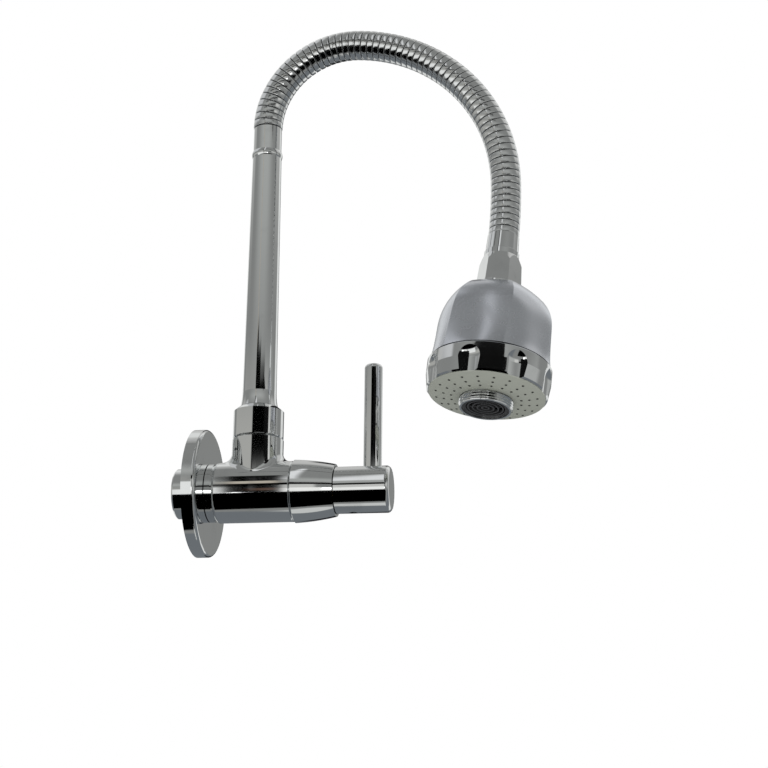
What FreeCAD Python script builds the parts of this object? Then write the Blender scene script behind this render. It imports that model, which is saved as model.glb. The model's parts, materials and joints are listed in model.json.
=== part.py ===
import FreeCAD, Part
import math
import os
from FreeCAD import Placement, Rotation, Vector

# Wall-mounted kitchen faucet with a ribbed flexible spout and a two-jet head.
# Millimetres. +X points out of the wall along the valve, +Z is up.
# The origin is the centre of the inlet on the wall plane.

# Clearances
RUN = 0.05          # shaft in its bore, and parts pushed or screwed together
FACE = 0.05         # between faces that bear on each other across a joint
GAP = 0.3           # between covers that turn past each other
SEAM_EDGE = 0.5     # bevel along a seam between two covers

# Wall flange
FLANGE_R = 33.75
FLANGE_T = 7.0
FLANGE_SHEET = 1.2
FLANGE_EDGE_R = 1.6
FLANGE_LIP_R = 2.4

# Valve body casting
INLET_THREAD_R = 13.22
INLET_SHANK_R = 13.0
INLET_THREAD_END = 0.5
INLET_LENGTH = 11.0
INLET_CHAMFER = 1.0
INLET_BORE_R = 9.0
BODY_R = 16.0
BODY_LENGTH = 45.0
BODY_EDGE_R = 1.5
SHOULDER_RING_R = 15.4
SHOULDER_RING_T = 3.0
SHOULDER_GROOVE_R = 14.6
SHOULDER_GROOVE_T = 0.8
CHAMBER_R = 10.5
CHAMBER_DEPTH = 30.0
RISER_X = 32.0
BRANCH_R = 13.6
BRANCH_TOP_Z = 28.5
BRANCH_FILLET_R = 5.0
BRANCH_STUB_R = 11.4
BRANCH_STUB_H = 9.0
BRANCH_FLOOR_Z = 13.0

# Ceramic cartridge
SEAT_SEAL_T = 2.8
SEAT_SEAL_RING = 2.6
DISC_T = 3.0
DISC_R = 8.6
DISC_PORT_R = 2.3
DISC_PORT_ORBIT = 4.6
CARTRIDGE_WALL = 1.6
CARTRIDGE_PORT_W = 9.0
CARTRIDGE_PORT_L = 8.0
CARTRIDGE_CAVITY_L = 15.0
HEX_ACROSS = 22.0
HEX_T = 6.0
CARTRIDGE_NECK_R = 7.0
CARTRIDGE_NECK_L = 10.0
SPINDLE_R = 4.0
SPINDLE_DRIVER_T = 2.6
SPINDLE_REACH = 20.0
SPLINES = 16
SPLINE_DEPTH = 0.4
SPINDLE_RING_R = 0.9
SPINDLE_RINGS = 2
SPINDLE_RING_STEP = 6.0
CLIP_T = 1.0
CLIP_WIDTH = 2.0
CLIP_DEPTH = 0.7
CLIP_MOUTH = 4.4

# Bonnet sleeve over the cartridge
SLEEVE_LENGTH = 22.1
SLEEVE_END_R = 13.8
SLEEVE_BULGE = 0.5
SLEEVE_PROUD = 0.6
SLEEVE_WALL = 1.3
SLEEVE_WEB_T = 3.0

# Lever
HUB_R = 12.3
HUB_LENGTH = 28.9
HUB_EDGE_R = 2.3
HUB_CAVITY_R = 9.6
HUB_CAVITY_L = 4.0
PIN_R = 4.8
PIN_FROM_END = 10.2
PIN_TOP_Z = 68.0
PIN_SOCKET_Z = 5.2
PIN_DOME = 2.2
GRUB_R = 2.0
GRUB_LENGTH = 6.0
GRUB_KEY = 2.0
GRUB_KEY_DEPTH = 2.4
GRUB_FROM_FACE = 9.0

# Spout nut and riser pipe
NUT_R = 13.4
NUT_HEIGHT = 17.2
NUT_SHOULDER_H = 2.4
NUT_SHOULDER_R = 10.4
FOOT_R = 9.0
FOOT_FLANGE_R = 10.6
FOOT_FLANGE_T = 2.0
FOOT_BOTTOM_Z = 15.0
SLIP_RING_T = 1.0
RISER_BORE_R = 6.9
RISER_FLARE_R = 10.0
RISER_FLARE_H = 8.0
RISER_FLARE_DIP = 0.25
RISER_LOW_R = 9.05
RISER_TOP_R = 8.0
RISER_TOP_Z = 190.0
BEAD_R = 8.5
BEAD_H = 4.0
O_RING_R = 0.8
FOOT_RING_Z = (20.0, 30.0)

# Upper ferrule, which joins the riser to the ribbed hose
FERRULE_R = 7.75
FERRULE_H = 14.4
FERRULE_SPIGOT = 12.0
FERRULE_EDGE = 0.4
HOSE_SPIGOT = 1.8

# Ribbed hose: two tangent arcs turn it right over in one upright plane, and
# a third lets its end lean back to the riser and to the front
ARCH_TURN = 5.0
ARCH_R1 = 46.5
ARCH_BEND_1 = 96.0
ARCH_R2 = 93.0
ARCH_OVER = 180.0
ARCH_R3 = 185.0
ARCH_LEAN = 9.6
ARCH_LEAN_TURN = 62.0
RIBS_PER_LENGTH = 6
HOSE_LENGTHS = 11
RIB_R = 8.1
RIB_GROOVE = 0.75
RIB_GAP = 0.9
RIB_BEVEL = 0.25
HOSE_BORE_R = 5.2
BALL_R = 6.3
BALL_ROOT = 1.6
BALL_REACH = 1.8
SOCKET_DEPTH = 3.0

# Water hose inside the ribbed hose
WATER_HOSE_R = 4.5
WATER_BORE_R = 3.2
TAIL_BORE_R = 2.3
TAIL_LENGTH = 12.0
TAIL_HEAD_T = 4.0
TAIL_BARB = 0.35

# Spray head, measured along its own axis from the end of the ribbed hose
LOW_FERRULE_L = 9.6
LOW_FERRULE_R = 8.3
LOW_FERRULE_END_R = 8.7
NECK_L = 16.0
NECK_TOP_R = 9.0
NECK_CORNER_R = 11.9
NECK_CHAMFER_L = 6.0
NECK_TOP_ACROSS = 18.4
NECK_ACROSS = 20.8
NECK_PHASE = 25.0
NECK_WALL = 2.0
NECK_LIP_R = 12.5
NECK_LIP_T = 1.2
NECK_WASHER_T = 1.5
BELL_L = 49.5
BELL_TOP_R = 12.8
BELL_BROW_R = 19.4
BELL_BROW_AT = 4.0
BELL_SHOULDER_R = 25.9
BELL_SHOULDER_AT = 11.0
BELL_WAIST_R = 30.1
BELL_WAIST_AT = 26.0
BELL_R = 31.2
BELL_WALL = 2.2
BELL_SIDES = 6
BELL_FLATNESS = 0.065
BELL_WAIST_FLATNESS = 0.045
BELL_PHASE = 33.0
BELL_TWIST = 10.0
SEAM = 0.4
RING_L = 17.0
RING_FLARE = 1.8
RING_FACE_R = 30.2
RING_WALL = 2.4
RING_STRAIGHT_L = 7.9
RING_EDGE = 0.8
RING_LIP = 3.4
FLUTES = 8
FLUTE_R = 10.0
FLUTE_DEPTH = 2.4
FLUTE_TILT = 2.0
FLUTE_TOP = 2.2
FLUTE_PHASE = 8.0
FACE_T = 2.4
FACE_LIP_T = 1.2
FACE_LIP_INSET = 0.3
FACE_LIP_EDGE = 0.5
FACE_CROWN = 1.6
FACE_BULGE = 0.5
FACE_HUB_R = 15.2
FACE_HUB_L = 9.0
JET_R = 0.5
JET_ROWS = (18.0, 22.0, 26.0)
JETS_PER_ROW = 20
OUTLET_R = 13.9
OUTLET_SHANK_R = 13.6
OUTLET_PROUD = 6.8
OUTLET_BORE_R = 12.2
OUTLET_FLOOR = 2.0
OUTLET_WATER_R = 8.0
INSERT_L = 9.0
INSERT_RECESS = 0.8
INSERT_WALL = 1.2
SCREEN_RINGS = (2.2, 4.6, 7.0, 9.4)
SCREEN_RING_W = 0.8
SCREEN_T = 1.6
SCREEN_SPOKES = 4
CORE_STUB_R = 6.9
CORE_STUB_L = 5.0
CORE_PLATE_T = 4.0
CORE_BORE_R = 5.0
CORE_JET_ORBIT = 20.0
CORE_JET_R = 2.5
CORE_JETS = 6
SEAL_R = 10.5
SEAL_SECTION_R = 0.9

# Places worked out from the sizes above
BODY_X0 = FLANGE_T + GAP
BODY_X1 = BODY_X0 + BODY_LENGTH
CHAMBER_X = BODY_X1 - CHAMBER_DEPTH
DISC_X = CHAMBER_X + SEAT_SEAL_T
DRIVER_X = DISC_X + 2 * DISC_T + FACE
CAVITY_R = CHAMBER_R - RUN - CARTRIDGE_WALL
CAVITY_X1 = DISC_X + CARTRIDGE_CAVITY_L
HEX_X = BODY_X1 + FACE
NECK_X = HEX_X + HEX_T
NECK_X1 = NECK_X + CARTRIDGE_NECK_L
SLEEVE_X = BODY_X1 + GAP
SLEEVE_X1 = SLEEVE_X + SLEEVE_LENGTH
SLEEVE_R = BODY_R + SLEEVE_PROUD
HUB_X = SLEEVE_X1 + GAP
HUB_X1 = HUB_X + HUB_LENGTH
PIN_X = HUB_X1 - PIN_FROM_END
SPINDLE_X1 = NECK_X1 + SPINDLE_REACH
GRUB_X = HUB_X + GRUB_FROM_FACE
STUB_TOP_Z = BRANCH_TOP_Z + BRANCH_STUB_H
NUT_Z = BRANCH_TOP_Z + GAP
NUT_TOP_Z = NUT_Z + NUT_HEIGHT
FOOT_FLANGE_Z = STUB_TOP_Z + FACE
SLIP_RING_Z = FOOT_FLANGE_Z + FOOT_FLANGE_T + FACE
NUT_LEDGE_Z = SLIP_RING_Z + SLIP_RING_T + FACE
RISER_END_Z = RISER_TOP_Z + BEAD_H
HOSE_Z = RISER_END_Z + FERRULE_H
RIB_GROOVE_R = RIB_R - RIB_GROOVE
SOCKET_R = BALL_R + GAP
RIBS = RIBS_PER_LENGTH * HOSE_LENGTHS
ARCH_BEND_2 = ARCH_OVER - ARCH_BEND_1
ARCS = ((ARCH_R1, ARCH_BEND_1), (ARCH_R2, ARCH_BEND_2), (ARCH_R3, ARCH_LEAN))
ARCH_LENGTH = sum(radius * math.radians(turn) for radius, turn in ARCS)
PITCH = ARCH_LENGTH / RIBS
LENGTH_PITCH = PITCH * RIBS_PER_LENGTH
NECK_AT = LOW_FERRULE_L
BELL_AT = NECK_AT + NECK_L
WASHER_AT = BELL_AT - CORE_STUB_L - NECK_WASHER_T
RING_AT = BELL_AT + BELL_L + SEAM
FACE_AT = RING_AT + RING_L
CORE_AT = FACE_AT - CORE_PLATE_T - FACE_HUB_L - FACE_T
CORE_R = RING_FACE_R - RING_WALL - GAP
CORE_TOWER_R = (BELL_TOP_R - BELL_WALL) * (1 - BELL_FLATNESS) - GAP
RING_R = RING_FACE_R + RING_FLARE
RING_END = FACE_AT - FACE_LIP_T - FACE

PARTS = {}


def keep(name, shape):
    """Hold a finished piece under the name of its node."""
    PARTS[name] = shape.removeSplitter()


def turned(outline):
    """Solid of revolution about Z. The outline is (along, radius) points;
    an entry of two points is an arc through the first to the second."""
    edges = []
    start = outline[0]
    here = start
    for entry in list(outline[1:]) + [start]:
        if isinstance(entry[0], tuple):
            middle, end = entry
            arc = Part.Arc(flat(here), flat(middle), flat(end))
            edges.append(arc.toShape())
        else:
            end = entry
            if math.dist(here, end) > 1e-6:
                edges.append(Part.makeLine(flat(here), flat(end)))
        here = end
    face = Part.Face(Part.Wire(edges))
    return face.revolve(Vector(0, 0, 0), Vector(0, 0, 1), 360)


def round_start(start, radius, edge):
    """Quarter round that leads from an end face out to the side."""
    bend = edge * (1 - math.cos(math.radians(45)))
    return [(start, radius - edge), ((start + bend, radius - bend), (start + edge, radius))]


def round_end(end, radius, edge):
    """Quarter round that leads from the side in to an end face."""
    bend = edge * (1 - math.cos(math.radians(45)))
    return [(end - edge, radius), ((end - bend, radius - bend), (end, radius - edge))]


def hexagon(across, x, height, phase=0.0):
    """Flat six-sided face about an upright line, across its flats."""
    corner_r = across / math.sqrt(3)
    angles = [math.radians(phase + 60 * i) for i in range(7)]
    corners = [Vector(x + corner_r * math.cos(a), corner_r * math.sin(a), height) for a in angles]
    return Part.Face(Part.makePolygon(corners))


def flat(point):
    """Point of an outline, as (along, radius), in the XZ plane."""
    return Vector(point[1], 0, point[0])


def tube(outer_r, inner_r, start, end):
    """Plain tube about Z between two heights."""
    outer = Part.makeCylinder(outer_r, end - start, Vector(0, 0, start))
    inner = Part.makeCylinder(inner_r, end - start, Vector(0, 0, start))
    return outer.cut(inner)


def o_ring(section_r, centre_r, height):
    """Rubber ring about Z."""
    return Part.makeTorus(centre_r, section_r, Vector(0, 0, height))


def placed(shape, origin, along, across):
    """Move a piece made about Z so that Z runs along, and X across."""
    side = along.cross(across)
    turn = Rotation(across, side, along, "ZXY")
    moved = shape.copy()
    moved.Placement = Placement(origin, turn).multiply(moved.Placement)
    return moved


def on_valve(shape):
    """Put a piece made about Z on the valve axis, its Z height becoming X."""
    return placed(shape, Vector(0, 0, 0), Vector(1, 0, 0), Vector(0, 1, 0))


def on_riser(shape):
    """Put a piece made about Z on the riser axis."""
    moved = shape.copy()
    moved.translate(Vector(RISER_X, 0, 0))
    return moved


ARCH_OUT = Vector(math.cos(math.radians(ARCH_TURN)), -math.sin(math.radians(ARCH_TURN)), 0)
ARCH_SIDE = Vector(math.sin(math.radians(ARCH_TURN)), math.cos(math.radians(ARCH_TURN)), 0)
LEAN_BACK = math.cos(math.radians(ARCH_LEAN_TURN))
LEAN_FRONT = math.sin(math.radians(ARCH_LEAN_TURN))
LEAN_WAY = ARCH_OUT * -LEAN_BACK - ARCH_SIDE * LEAN_FRONT


def arch(distance):
    """Point and direction on the hose's centre line, a distance along it."""
    point = Vector(RISER_X, 0, HOSE_Z)
    ahead = Vector(0, 0, 1)
    inward = ARCH_OUT
    left = distance
    for radius, turn in ARCS:
        last = (radius, turn) == ARCS[-1]
        if last:
            inward = LEAN_WAY
        bend = left / radius if last else min(left / radius, math.radians(turn))
        along = math.cos(bend)
        across = math.sin(bend)
        point = point + inward * (radius * (1 - along)) + ahead * (radius * across)
        ahead, inward = ahead * along + inward * across, inward * along - ahead * across
        left -= bend * radius
    return point, ahead


def ring_at(distance, radius):
    """Circle square to the hose's centre line, with a steady X axis."""
    point, direction = arch(distance)
    circle = Part.makeCircle(radius)
    return Part.Wire(placed(circle, point, direction, ARCH_SIDE))


def on_arch(shape, distance):
    """Put a piece made about Z on the hose's centre line."""
    point, direction = arch(distance)
    return placed(shape, point, direction, ARCH_SIDE)


def on_head(shape):
    """Put a piece made about Z on the head's axis."""
    return on_arch(shape, ARCH_LENGTH)


def wall_flange():
    """Pressed escutcheon: a flat front, a cylindrical rim and a hole with a
    lip turned back round the inlet."""
    hole_r = INLET_THREAD_R + GAP
    edge = FLANGE_EDGE_R
    inner_mid = (edge - FLANGE_SHEET) * math.cos(math.radians(45))
    back = FLANGE_T - FLANGE_SHEET
    outline = [(0, FLANGE_R)] + round_end(FLANGE_T, FLANGE_R, edge) + [
        (FLANGE_T, hole_r),
        (back - FLANGE_LIP_R, hole_r),
        (back - FLANGE_LIP_R, hole_r + FLANGE_SHEET),
        (back, hole_r + FLANGE_SHEET),
        (back, FLANGE_R - edge),
        ((FLANGE_T - edge + inner_mid, FLANGE_R - edge + inner_mid),
         (FLANGE_T - edge, FLANGE_R - FLANGE_SHEET)),
        (0, FLANGE_R - FLANGE_SHEET),
    ]
    keep("wall_flange", on_valve(turned(outline)))


def on_branch_seam(line):
    """True for an edge that lies on the barrel and on the branch alike."""
    low, high = line.ParameterRange
    for share in (0.2, 0.5, 0.8):
        at = line.valueAt(low + share * (high - low))
        on_barrel = math.isclose(math.hypot(at.y, at.z), BODY_R, abs_tol=RUN)
        on_branch = math.isclose(math.hypot(at.x - RISER_X, at.y), BRANCH_R, abs_tol=RUN)
        if not (on_barrel and on_branch):
            return False
    return True


def valve_body():
    """Cast tee: threaded inlet, main barrel and the branch for the spout."""
    ring_x = BODY_X0 + SHOULDER_RING_T
    barrel_x = ring_x + SHOULDER_GROOVE_T
    barrel = turned([
        (-INLET_LENGTH, 0),
        (-INLET_LENGTH, INLET_THREAD_R - INLET_CHAMFER),
        (INLET_CHAMFER - INLET_LENGTH, INLET_THREAD_R),
        (INLET_THREAD_END, INLET_THREAD_R),
        (INLET_THREAD_END, INLET_SHANK_R),
        (BODY_X0, INLET_SHANK_R),
        (BODY_X0, SHOULDER_RING_R),
        (ring_x, SHOULDER_RING_R),
        (ring_x, SHOULDER_GROOVE_R),
        (barrel_x, SHOULDER_GROOVE_R),
    ] + round_start(barrel_x, BODY_R, BODY_EDGE_R) + [
        (BODY_X1 - SEAM_EDGE, BODY_R),
        (BODY_X1, BODY_R - SEAM_EDGE),
        (BODY_X1, 0),
    ])
    barrel = on_valve(barrel)
    neck = on_riser(turned([
        (0, 0),
        (0, BRANCH_R),
        (BRANCH_TOP_Z - SEAM_EDGE, BRANCH_R),
        (BRANCH_TOP_Z, BRANCH_R - SEAM_EDGE),
        (BRANCH_TOP_Z, 0),
    ]))
    casting = barrel.fuse(neck).removeSplitter()
    seam = [line for line in casting.Edges if on_branch_seam(line)]
    casting = casting.makeFillet(BRANCH_FILLET_R, seam)
    stub = on_riser(tube(BRANCH_STUB_R, FOOT_R, BRANCH_FLOOR_Z, STUB_TOP_Z))
    casting = casting.fuse(stub)
    inlet = on_valve(Part.makeCylinder(INLET_BORE_R, CHAMBER_X + INLET_LENGTH, Vector(0, 0, -INLET_LENGTH)))
    chamber = on_valve(Part.makeCylinder(CHAMBER_R, CHAMBER_DEPTH, Vector(0, 0, CHAMBER_X)))
    socket_r = FOOT_R + RUN
    socket = on_riser(Part.makeCylinder(socket_r, STUB_TOP_Z - BRANCH_FLOOR_Z, Vector(0, 0, BRANCH_FLOOR_Z)))
    passage = on_riser(Part.makeCylinder(RISER_BORE_R, BRANCH_FLOOR_Z))
    for hollow in (inlet, chamber, socket, passage):
        casting = casting.cut(hollow)
    keep("valve_body", casting)


def cartridge():
    """Quarter-turn ceramic cartridge, screwed into the body's chamber."""
    seal_r = CHAMBER_R - RUN
    seal = tube(seal_r, seal_r - SEAT_SEAL_RING, CHAMBER_X, DISC_X)
    keep("cartridge_seat_seal", on_valve(seal))

    disc = Part.makeCylinder(DISC_R, DISC_T)
    for side in (-1, 1):
        port = Part.makeCylinder(DISC_PORT_R, DISC_T, Vector(0, side * DISC_PORT_ORBIT, 0))
        disc = disc.cut(port)
    fixed = disc.copy()
    fixed.translate(Vector(0, 0, DISC_X))
    keep("fixed_ceramic_disc", on_valve(fixed))
    moving = disc.copy()
    moving.rotate(Vector(0, 0, 0), Vector(0, 0, 1), 90)
    moving.translate(Vector(0, 0, DISC_X + DISC_T + FACE))
    keep("moving_ceramic_disc", on_valve(moving))

    shaft_r = SPINDLE_R + RUN
    housing = turned([
        (DISC_X, seal_r),
        (HEX_X, seal_r),
        (HEX_X, shaft_r),
        (CAVITY_X1, shaft_r),
        (CAVITY_X1, CAVITY_R),
        (DISC_X, CAVITY_R),
    ])
    head = hexagon(HEX_ACROSS, 0, HEX_X).extrude(Vector(0, 0, HEX_T))
    neck = Part.makeCylinder(CARTRIDGE_NECK_R, CARTRIDGE_NECK_L, Vector(0, 0, NECK_X))
    bore = Part.makeCylinder(shaft_r, HEX_T + CARTRIDGE_NECK_L, Vector(0, 0, HEX_X))
    housing = housing.fuse(head.fuse(neck).cut(bore))
    port_x = CAVITY_X1 - CARTRIDGE_PORT_L
    port = Part.makeBox(CARTRIDGE_PORT_W, 2 * CHAMBER_R, CARTRIDGE_PORT_L,
                        Vector(-CARTRIDGE_PORT_W / 2, -CHAMBER_R, port_x))
    housing = housing.cut(port)
    keep("cartridge_housing", on_valve(housing))


def spindle_ring_places():
    """Heights of the spindle's rubber rings."""
    first = CAVITY_X1 + SPINDLE_RING_STEP
    return [first + i * SPINDLE_RING_STEP for i in range(SPINDLE_RINGS)]


def spindle():
    """Spindle that turns the moving disc, with its rings and its clip."""
    driver = Part.makeCylinder(DISC_R, SPINDLE_DRIVER_T, Vector(0, 0, DRIVER_X + FACE))
    stem_x = DRIVER_X + FACE
    stem = Part.makeCylinder(SPINDLE_R, SPINDLE_X1 - stem_x, Vector(0, 0, stem_x))
    shape = driver.fuse(stem)
    groove_r = SPINDLE_R - 2 * SPINDLE_RING_R
    rings = []
    for x in spindle_ring_places():
        low = x - SPINDLE_RING_R
        shape = shape.cut(tube(SPINDLE_R, groove_r, low, low + 2 * SPINDLE_RING_R))
        rings.append(o_ring(SPINDLE_RING_R, groove_r + SPINDLE_RING_R, x))
    clip_x = NECK_X1 + FACE
    shape = shape.cut(tube(SPINDLE_R, SPINDLE_R - CLIP_DEPTH, clip_x, clip_x + CLIP_T + FACE))
    spline_x = HUB_X + HUB_CAVITY_L
    tooth = Part.makeBox(2 * SPLINE_DEPTH, 2 * SPLINE_DEPTH, SPINDLE_X1 - spline_x,
                         Vector(-SPLINE_DEPTH, -SPLINE_DEPTH, spline_x))
    tooth.rotate(Vector(0, 0, 0), Vector(0, 0, 1), 45)
    tooth.translate(Vector(SPINDLE_R + SPLINE_DEPTH / 2, 0, 0))
    teeth = []
    for i in range(SPLINES):
        one = tooth.copy()
        one.rotate(Vector(0, 0, 0), Vector(0, 0, 1), 360 * i / SPLINES)
        teeth.append(one)
    shape = shape.cut(Part.makeCompound(teeth))
    keep("cartridge_spindle", on_valve(shape))
    keep("spindle_rings", on_valve(Part.makeCompound(rings)))

    clip = tube(SPINDLE_R + CLIP_WIDTH, SPINDLE_R - CLIP_DEPTH, clip_x, clip_x + CLIP_T)
    mouth = Part.makeBox(2 * SPINDLE_R, CLIP_MOUTH, CLIP_T, Vector(0, -CLIP_MOUTH / 2, clip_x))
    keep("spindle_clip", on_valve(clip.cut(mouth)))


def bonnet_sleeve():
    """Tapered cover over the cartridge, with a web that screws on its neck."""
    middle = (SLEEVE_X + SLEEVE_X1) / 2
    outer_mid = (SLEEVE_R + SLEEVE_END_R) / 2 + SLEEVE_BULGE
    web_x = NECK_X + FACE
    shell = turned([
        (SLEEVE_X, SLEEVE_R - SEAM_EDGE),
        (SLEEVE_X + SEAM_EDGE, SLEEVE_R),
        ((middle, outer_mid), (SLEEVE_X1, SLEEVE_END_R)),
        (SLEEVE_X1, SLEEVE_END_R - SLEEVE_WALL),
        ((middle, outer_mid - SLEEVE_WALL), (SLEEVE_X, SLEEVE_R - SLEEVE_WALL)),
    ])
    web = tube(outer_mid - SLEEVE_WALL / 2, CARTRIDGE_NECK_R + RUN, web_x, web_x + SLEEVE_WEB_T)
    keep("bonnet_sleeve", on_valve(shell.fuse(web)))


def lever():
    """Hub on the spindle, its lever pin and the grub screw that holds it."""
    seat_x = SPINDLE_X1 + GAP
    hub = turned([(HUB_X, HUB_CAVITY_R), (HUB_X, HUB_R)] + round_end(HUB_X1, HUB_R, HUB_EDGE_R) + [
        (HUB_X1, 0),
        (seat_x, 0),
        (seat_x, SPINDLE_R + RUN),
        (HUB_X + HUB_CAVITY_L, SPINDLE_R + RUN),
        (HUB_X + HUB_CAVITY_L, HUB_CAVITY_R),
    ])
    hub = on_valve(hub)
    socket = Part.makeCylinder(PIN_R + RUN, HUB_R, Vector(PIN_X, 0, PIN_SOCKET_Z))
    grub_hole = Part.makeCylinder(GRUB_R + RUN, HUB_R, Vector(GRUB_X, 0, -HUB_R))
    keep("lever_hub", hub.cut(socket).cut(grub_hole))

    foot_z = PIN_SOCKET_Z + FACE
    pin = turned([(foot_z, 0), (foot_z, PIN_R)] + round_end(PIN_TOP_Z, PIN_R, PIN_DOME) + [(PIN_TOP_Z, 0)])
    pin.translate(Vector(PIN_X, 0, 0))
    keep("lever_pin", pin)

    grub_z = -SPINDLE_R - FACE - GRUB_LENGTH
    grub = Part.makeCylinder(GRUB_R, GRUB_LENGTH, Vector(GRUB_X, 0, grub_z))
    key = hexagon(GRUB_KEY, GRUB_X, grub_z).extrude(Vector(0, 0, GRUB_KEY_DEPTH))
    keep("hub_grub_screw", grub.cut(key))


def spout_nut():
    """Nut that screws on the branch and holds the swivelling riser."""
    nut = turned([
        (NUT_Z, BRANCH_STUB_R + RUN),
        (NUT_Z, NUT_R - SEAM_EDGE),
        (NUT_Z + SEAM_EDGE, NUT_R),
        (NUT_TOP_Z - NUT_SHOULDER_H, NUT_R),
        (NUT_TOP_Z, NUT_SHOULDER_R),
        (NUT_TOP_Z, FOOT_R + GAP),
        (NUT_LEDGE_Z, FOOT_R + GAP),
        (NUT_LEDGE_Z, BRANCH_STUB_R + RUN),
    ])
    keep("spout_nut", on_riser(nut))
    slip = tube(BRANCH_STUB_R - RUN, FOOT_R + RUN, SLIP_RING_Z, SLIP_RING_Z + SLIP_RING_T)
    keep("spout_slip_ring", on_riser(slip))


def riser_pipe():
    """Tapered riser with its sealed foot, a flared skirt over the nut and the
    rolled bead at its top."""
    skirt_z = NUT_TOP_Z + GAP
    skirt_mid_r = RISER_LOW_R + RISER_FLARE_DIP * (RISER_FLARE_R - RISER_LOW_R)
    pipe = turned([
        (FOOT_BOTTOM_Z, RISER_BORE_R),
        (FOOT_BOTTOM_Z, FOOT_R),
        (FOOT_FLANGE_Z, FOOT_R),
        (FOOT_FLANGE_Z, FOOT_FLANGE_R),
        (FOOT_FLANGE_Z + FOOT_FLANGE_T, FOOT_FLANGE_R),
        (FOOT_FLANGE_Z + FOOT_FLANGE_T, FOOT_R),
        (skirt_z, FOOT_R),
        (skirt_z, RISER_FLARE_R),
        ((skirt_z + RISER_FLARE_H / 2, skirt_mid_r), (skirt_z + RISER_FLARE_H, RISER_LOW_R)),
        (RISER_TOP_Z, RISER_TOP_R),
        ((RISER_TOP_Z + BEAD_H / 2, BEAD_R), (RISER_END_Z, RISER_TOP_R)),
        (RISER_END_Z, RISER_BORE_R),
    ])
    groove_r = FOOT_R - 2 * O_RING_R
    rings = []
    for z in FOOT_RING_Z:
        low = z - O_RING_R
        pipe = pipe.cut(tube(FOOT_R, groove_r, low, low + 2 * O_RING_R))
        rings.append(o_ring(O_RING_R, groove_r + O_RING_R, z))
    keep("riser_pipe", on_riser(pipe))
    keep("spout_rings", on_riser(Part.makeCompound(rings)))


def upper_ferrule():
    """Smooth sleeve between the riser and the ribbed hose."""
    start = RISER_END_Z + FACE
    end = HOSE_Z - FACE
    sleeve = turned([
        (RISER_END_Z - FERRULE_SPIGOT, WATER_HOSE_R + RUN),
        (RISER_END_Z - FERRULE_SPIGOT, RISER_BORE_R - RUN),
        (start, RISER_BORE_R - RUN),
        (start, FERRULE_R),
        (end - FERRULE_EDGE, FERRULE_R),
        (end, FERRULE_R - FERRULE_EDGE),
        (end, HOSE_BORE_R - GAP),
        (end + HOSE_SPIGOT, HOSE_BORE_R - GAP),
        (end + HOSE_SPIGOT, WATER_HOSE_R + RUN),
    ])
    keep("upper_ferrule", on_riser(sleeve))


def hose_length(index):
    """One articulated length of the ribbed hose: wound turns with a V groove
    between them, a bore, a ball end and a socket for its neighbour's ball."""
    first = index * LENGTH_PITCH
    lip = RIB_GAP / 2
    joins_before = index > 0
    joins_after = index < HOSE_LENGTHS - 1
    rings = []
    for rib in range(RIBS_PER_LENGTH):
        low = first + rib * PITCH
        high = low + PITCH
        open_start = joins_before and rib == 0
        open_end = joins_after and rib == RIBS_PER_LENGTH - 1
        rings.append(ring_at(low + lip if open_start else low, RIB_GROOVE_R))
        rings.append(ring_at(low + lip + (RIB_BEVEL if open_start else 0), RIB_R))
        rings.append(ring_at(high - lip - (RIB_BEVEL if open_end else 0), RIB_R))
    rings.append(ring_at(high - lip if open_end else high, RIB_GROOVE_R))
    body = Part.makeLoft(rings, True, True)
    tip = 0.0
    if joins_after:
        tip = BALL_REACH + RIB_GAP
        south = -math.degrees(math.asin(BALL_ROOT / BALL_R))
        north = math.degrees(math.asin(BALL_REACH / BALL_R))
        ball = Part.makeSphere(BALL_R, Vector(0, 0, 0), Vector(0, 0, 1), south, north)
        body = body.fuse(on_arch(ball, first + LENGTH_PITCH))
    if joins_before:
        socket = Part.makeCylinder(SOCKET_R, SOCKET_DEPTH + RIB_GAP, Vector(0, 0, -RIB_GAP))
        body = body.cut(on_arch(socket, first))
    steps = RIBS_PER_LENGTH // 2
    reach = (LENGTH_PITCH + tip) / steps
    bore = Part.makeLoft([ring_at(first + i * reach, HOSE_BORE_R) for i in range(steps + 1)], True, True)
    return body.cut(bore)


def hose_lengths():
    """All the articulated lengths of the ribbed hose."""
    for index in range(HOSE_LENGTHS):
        keep("hose_length_%02d" % (index + 1), hose_length(index))


def water_hose():
    """Plain hose that carries the water inside the ribbed one."""
    start = Vector(RISER_X, 0, RISER_END_Z)
    edges = [Part.makeLine(start, arch(0)[0])]
    done = 0.0
    for radius, turn in ARCS:
        sweep = radius * math.radians(turn)
        ends = [arch(done + sweep * share)[0] for share in (0, 0.5, 1)]
        edges.append(Part.Arc(*ends).toShape())
        done += sweep
    end, direction = arch(ARCH_LENGTH)
    edges.append(Part.makeLine(end, end + direction * LOW_FERRULE_L))
    path = Part.Wire(edges)
    solids = []
    for radius in (WATER_HOSE_R, WATER_BORE_R):
        circle = Part.makeCircle(radius, start, Vector(0, 0, 1))
        solids.append(path.makePipeShell([Part.Wire(circle)], True, False))
    keep("water_hose", solids[0].cut(solids[1]))


def hose_tail(outer_r):
    """Brass tail with a barb that the water hose is pushed on."""
    barb_at = TAIL_LENGTH - 2 * TAIL_BARB
    stem_r = WATER_BORE_R - RUN - TAIL_BARB
    return turned([
        (-TAIL_HEAD_T, TAIL_BORE_R),
        (-TAIL_HEAD_T, outer_r),
        (-FACE, outer_r),
        (-FACE, stem_r),
        (barb_at / 2, stem_r),
        (barb_at / 2, WATER_BORE_R - RUN),
        (barb_at, stem_r),
        (TAIL_LENGTH, stem_r),
        (TAIL_LENGTH, TAIL_BORE_R),
    ])


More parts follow.
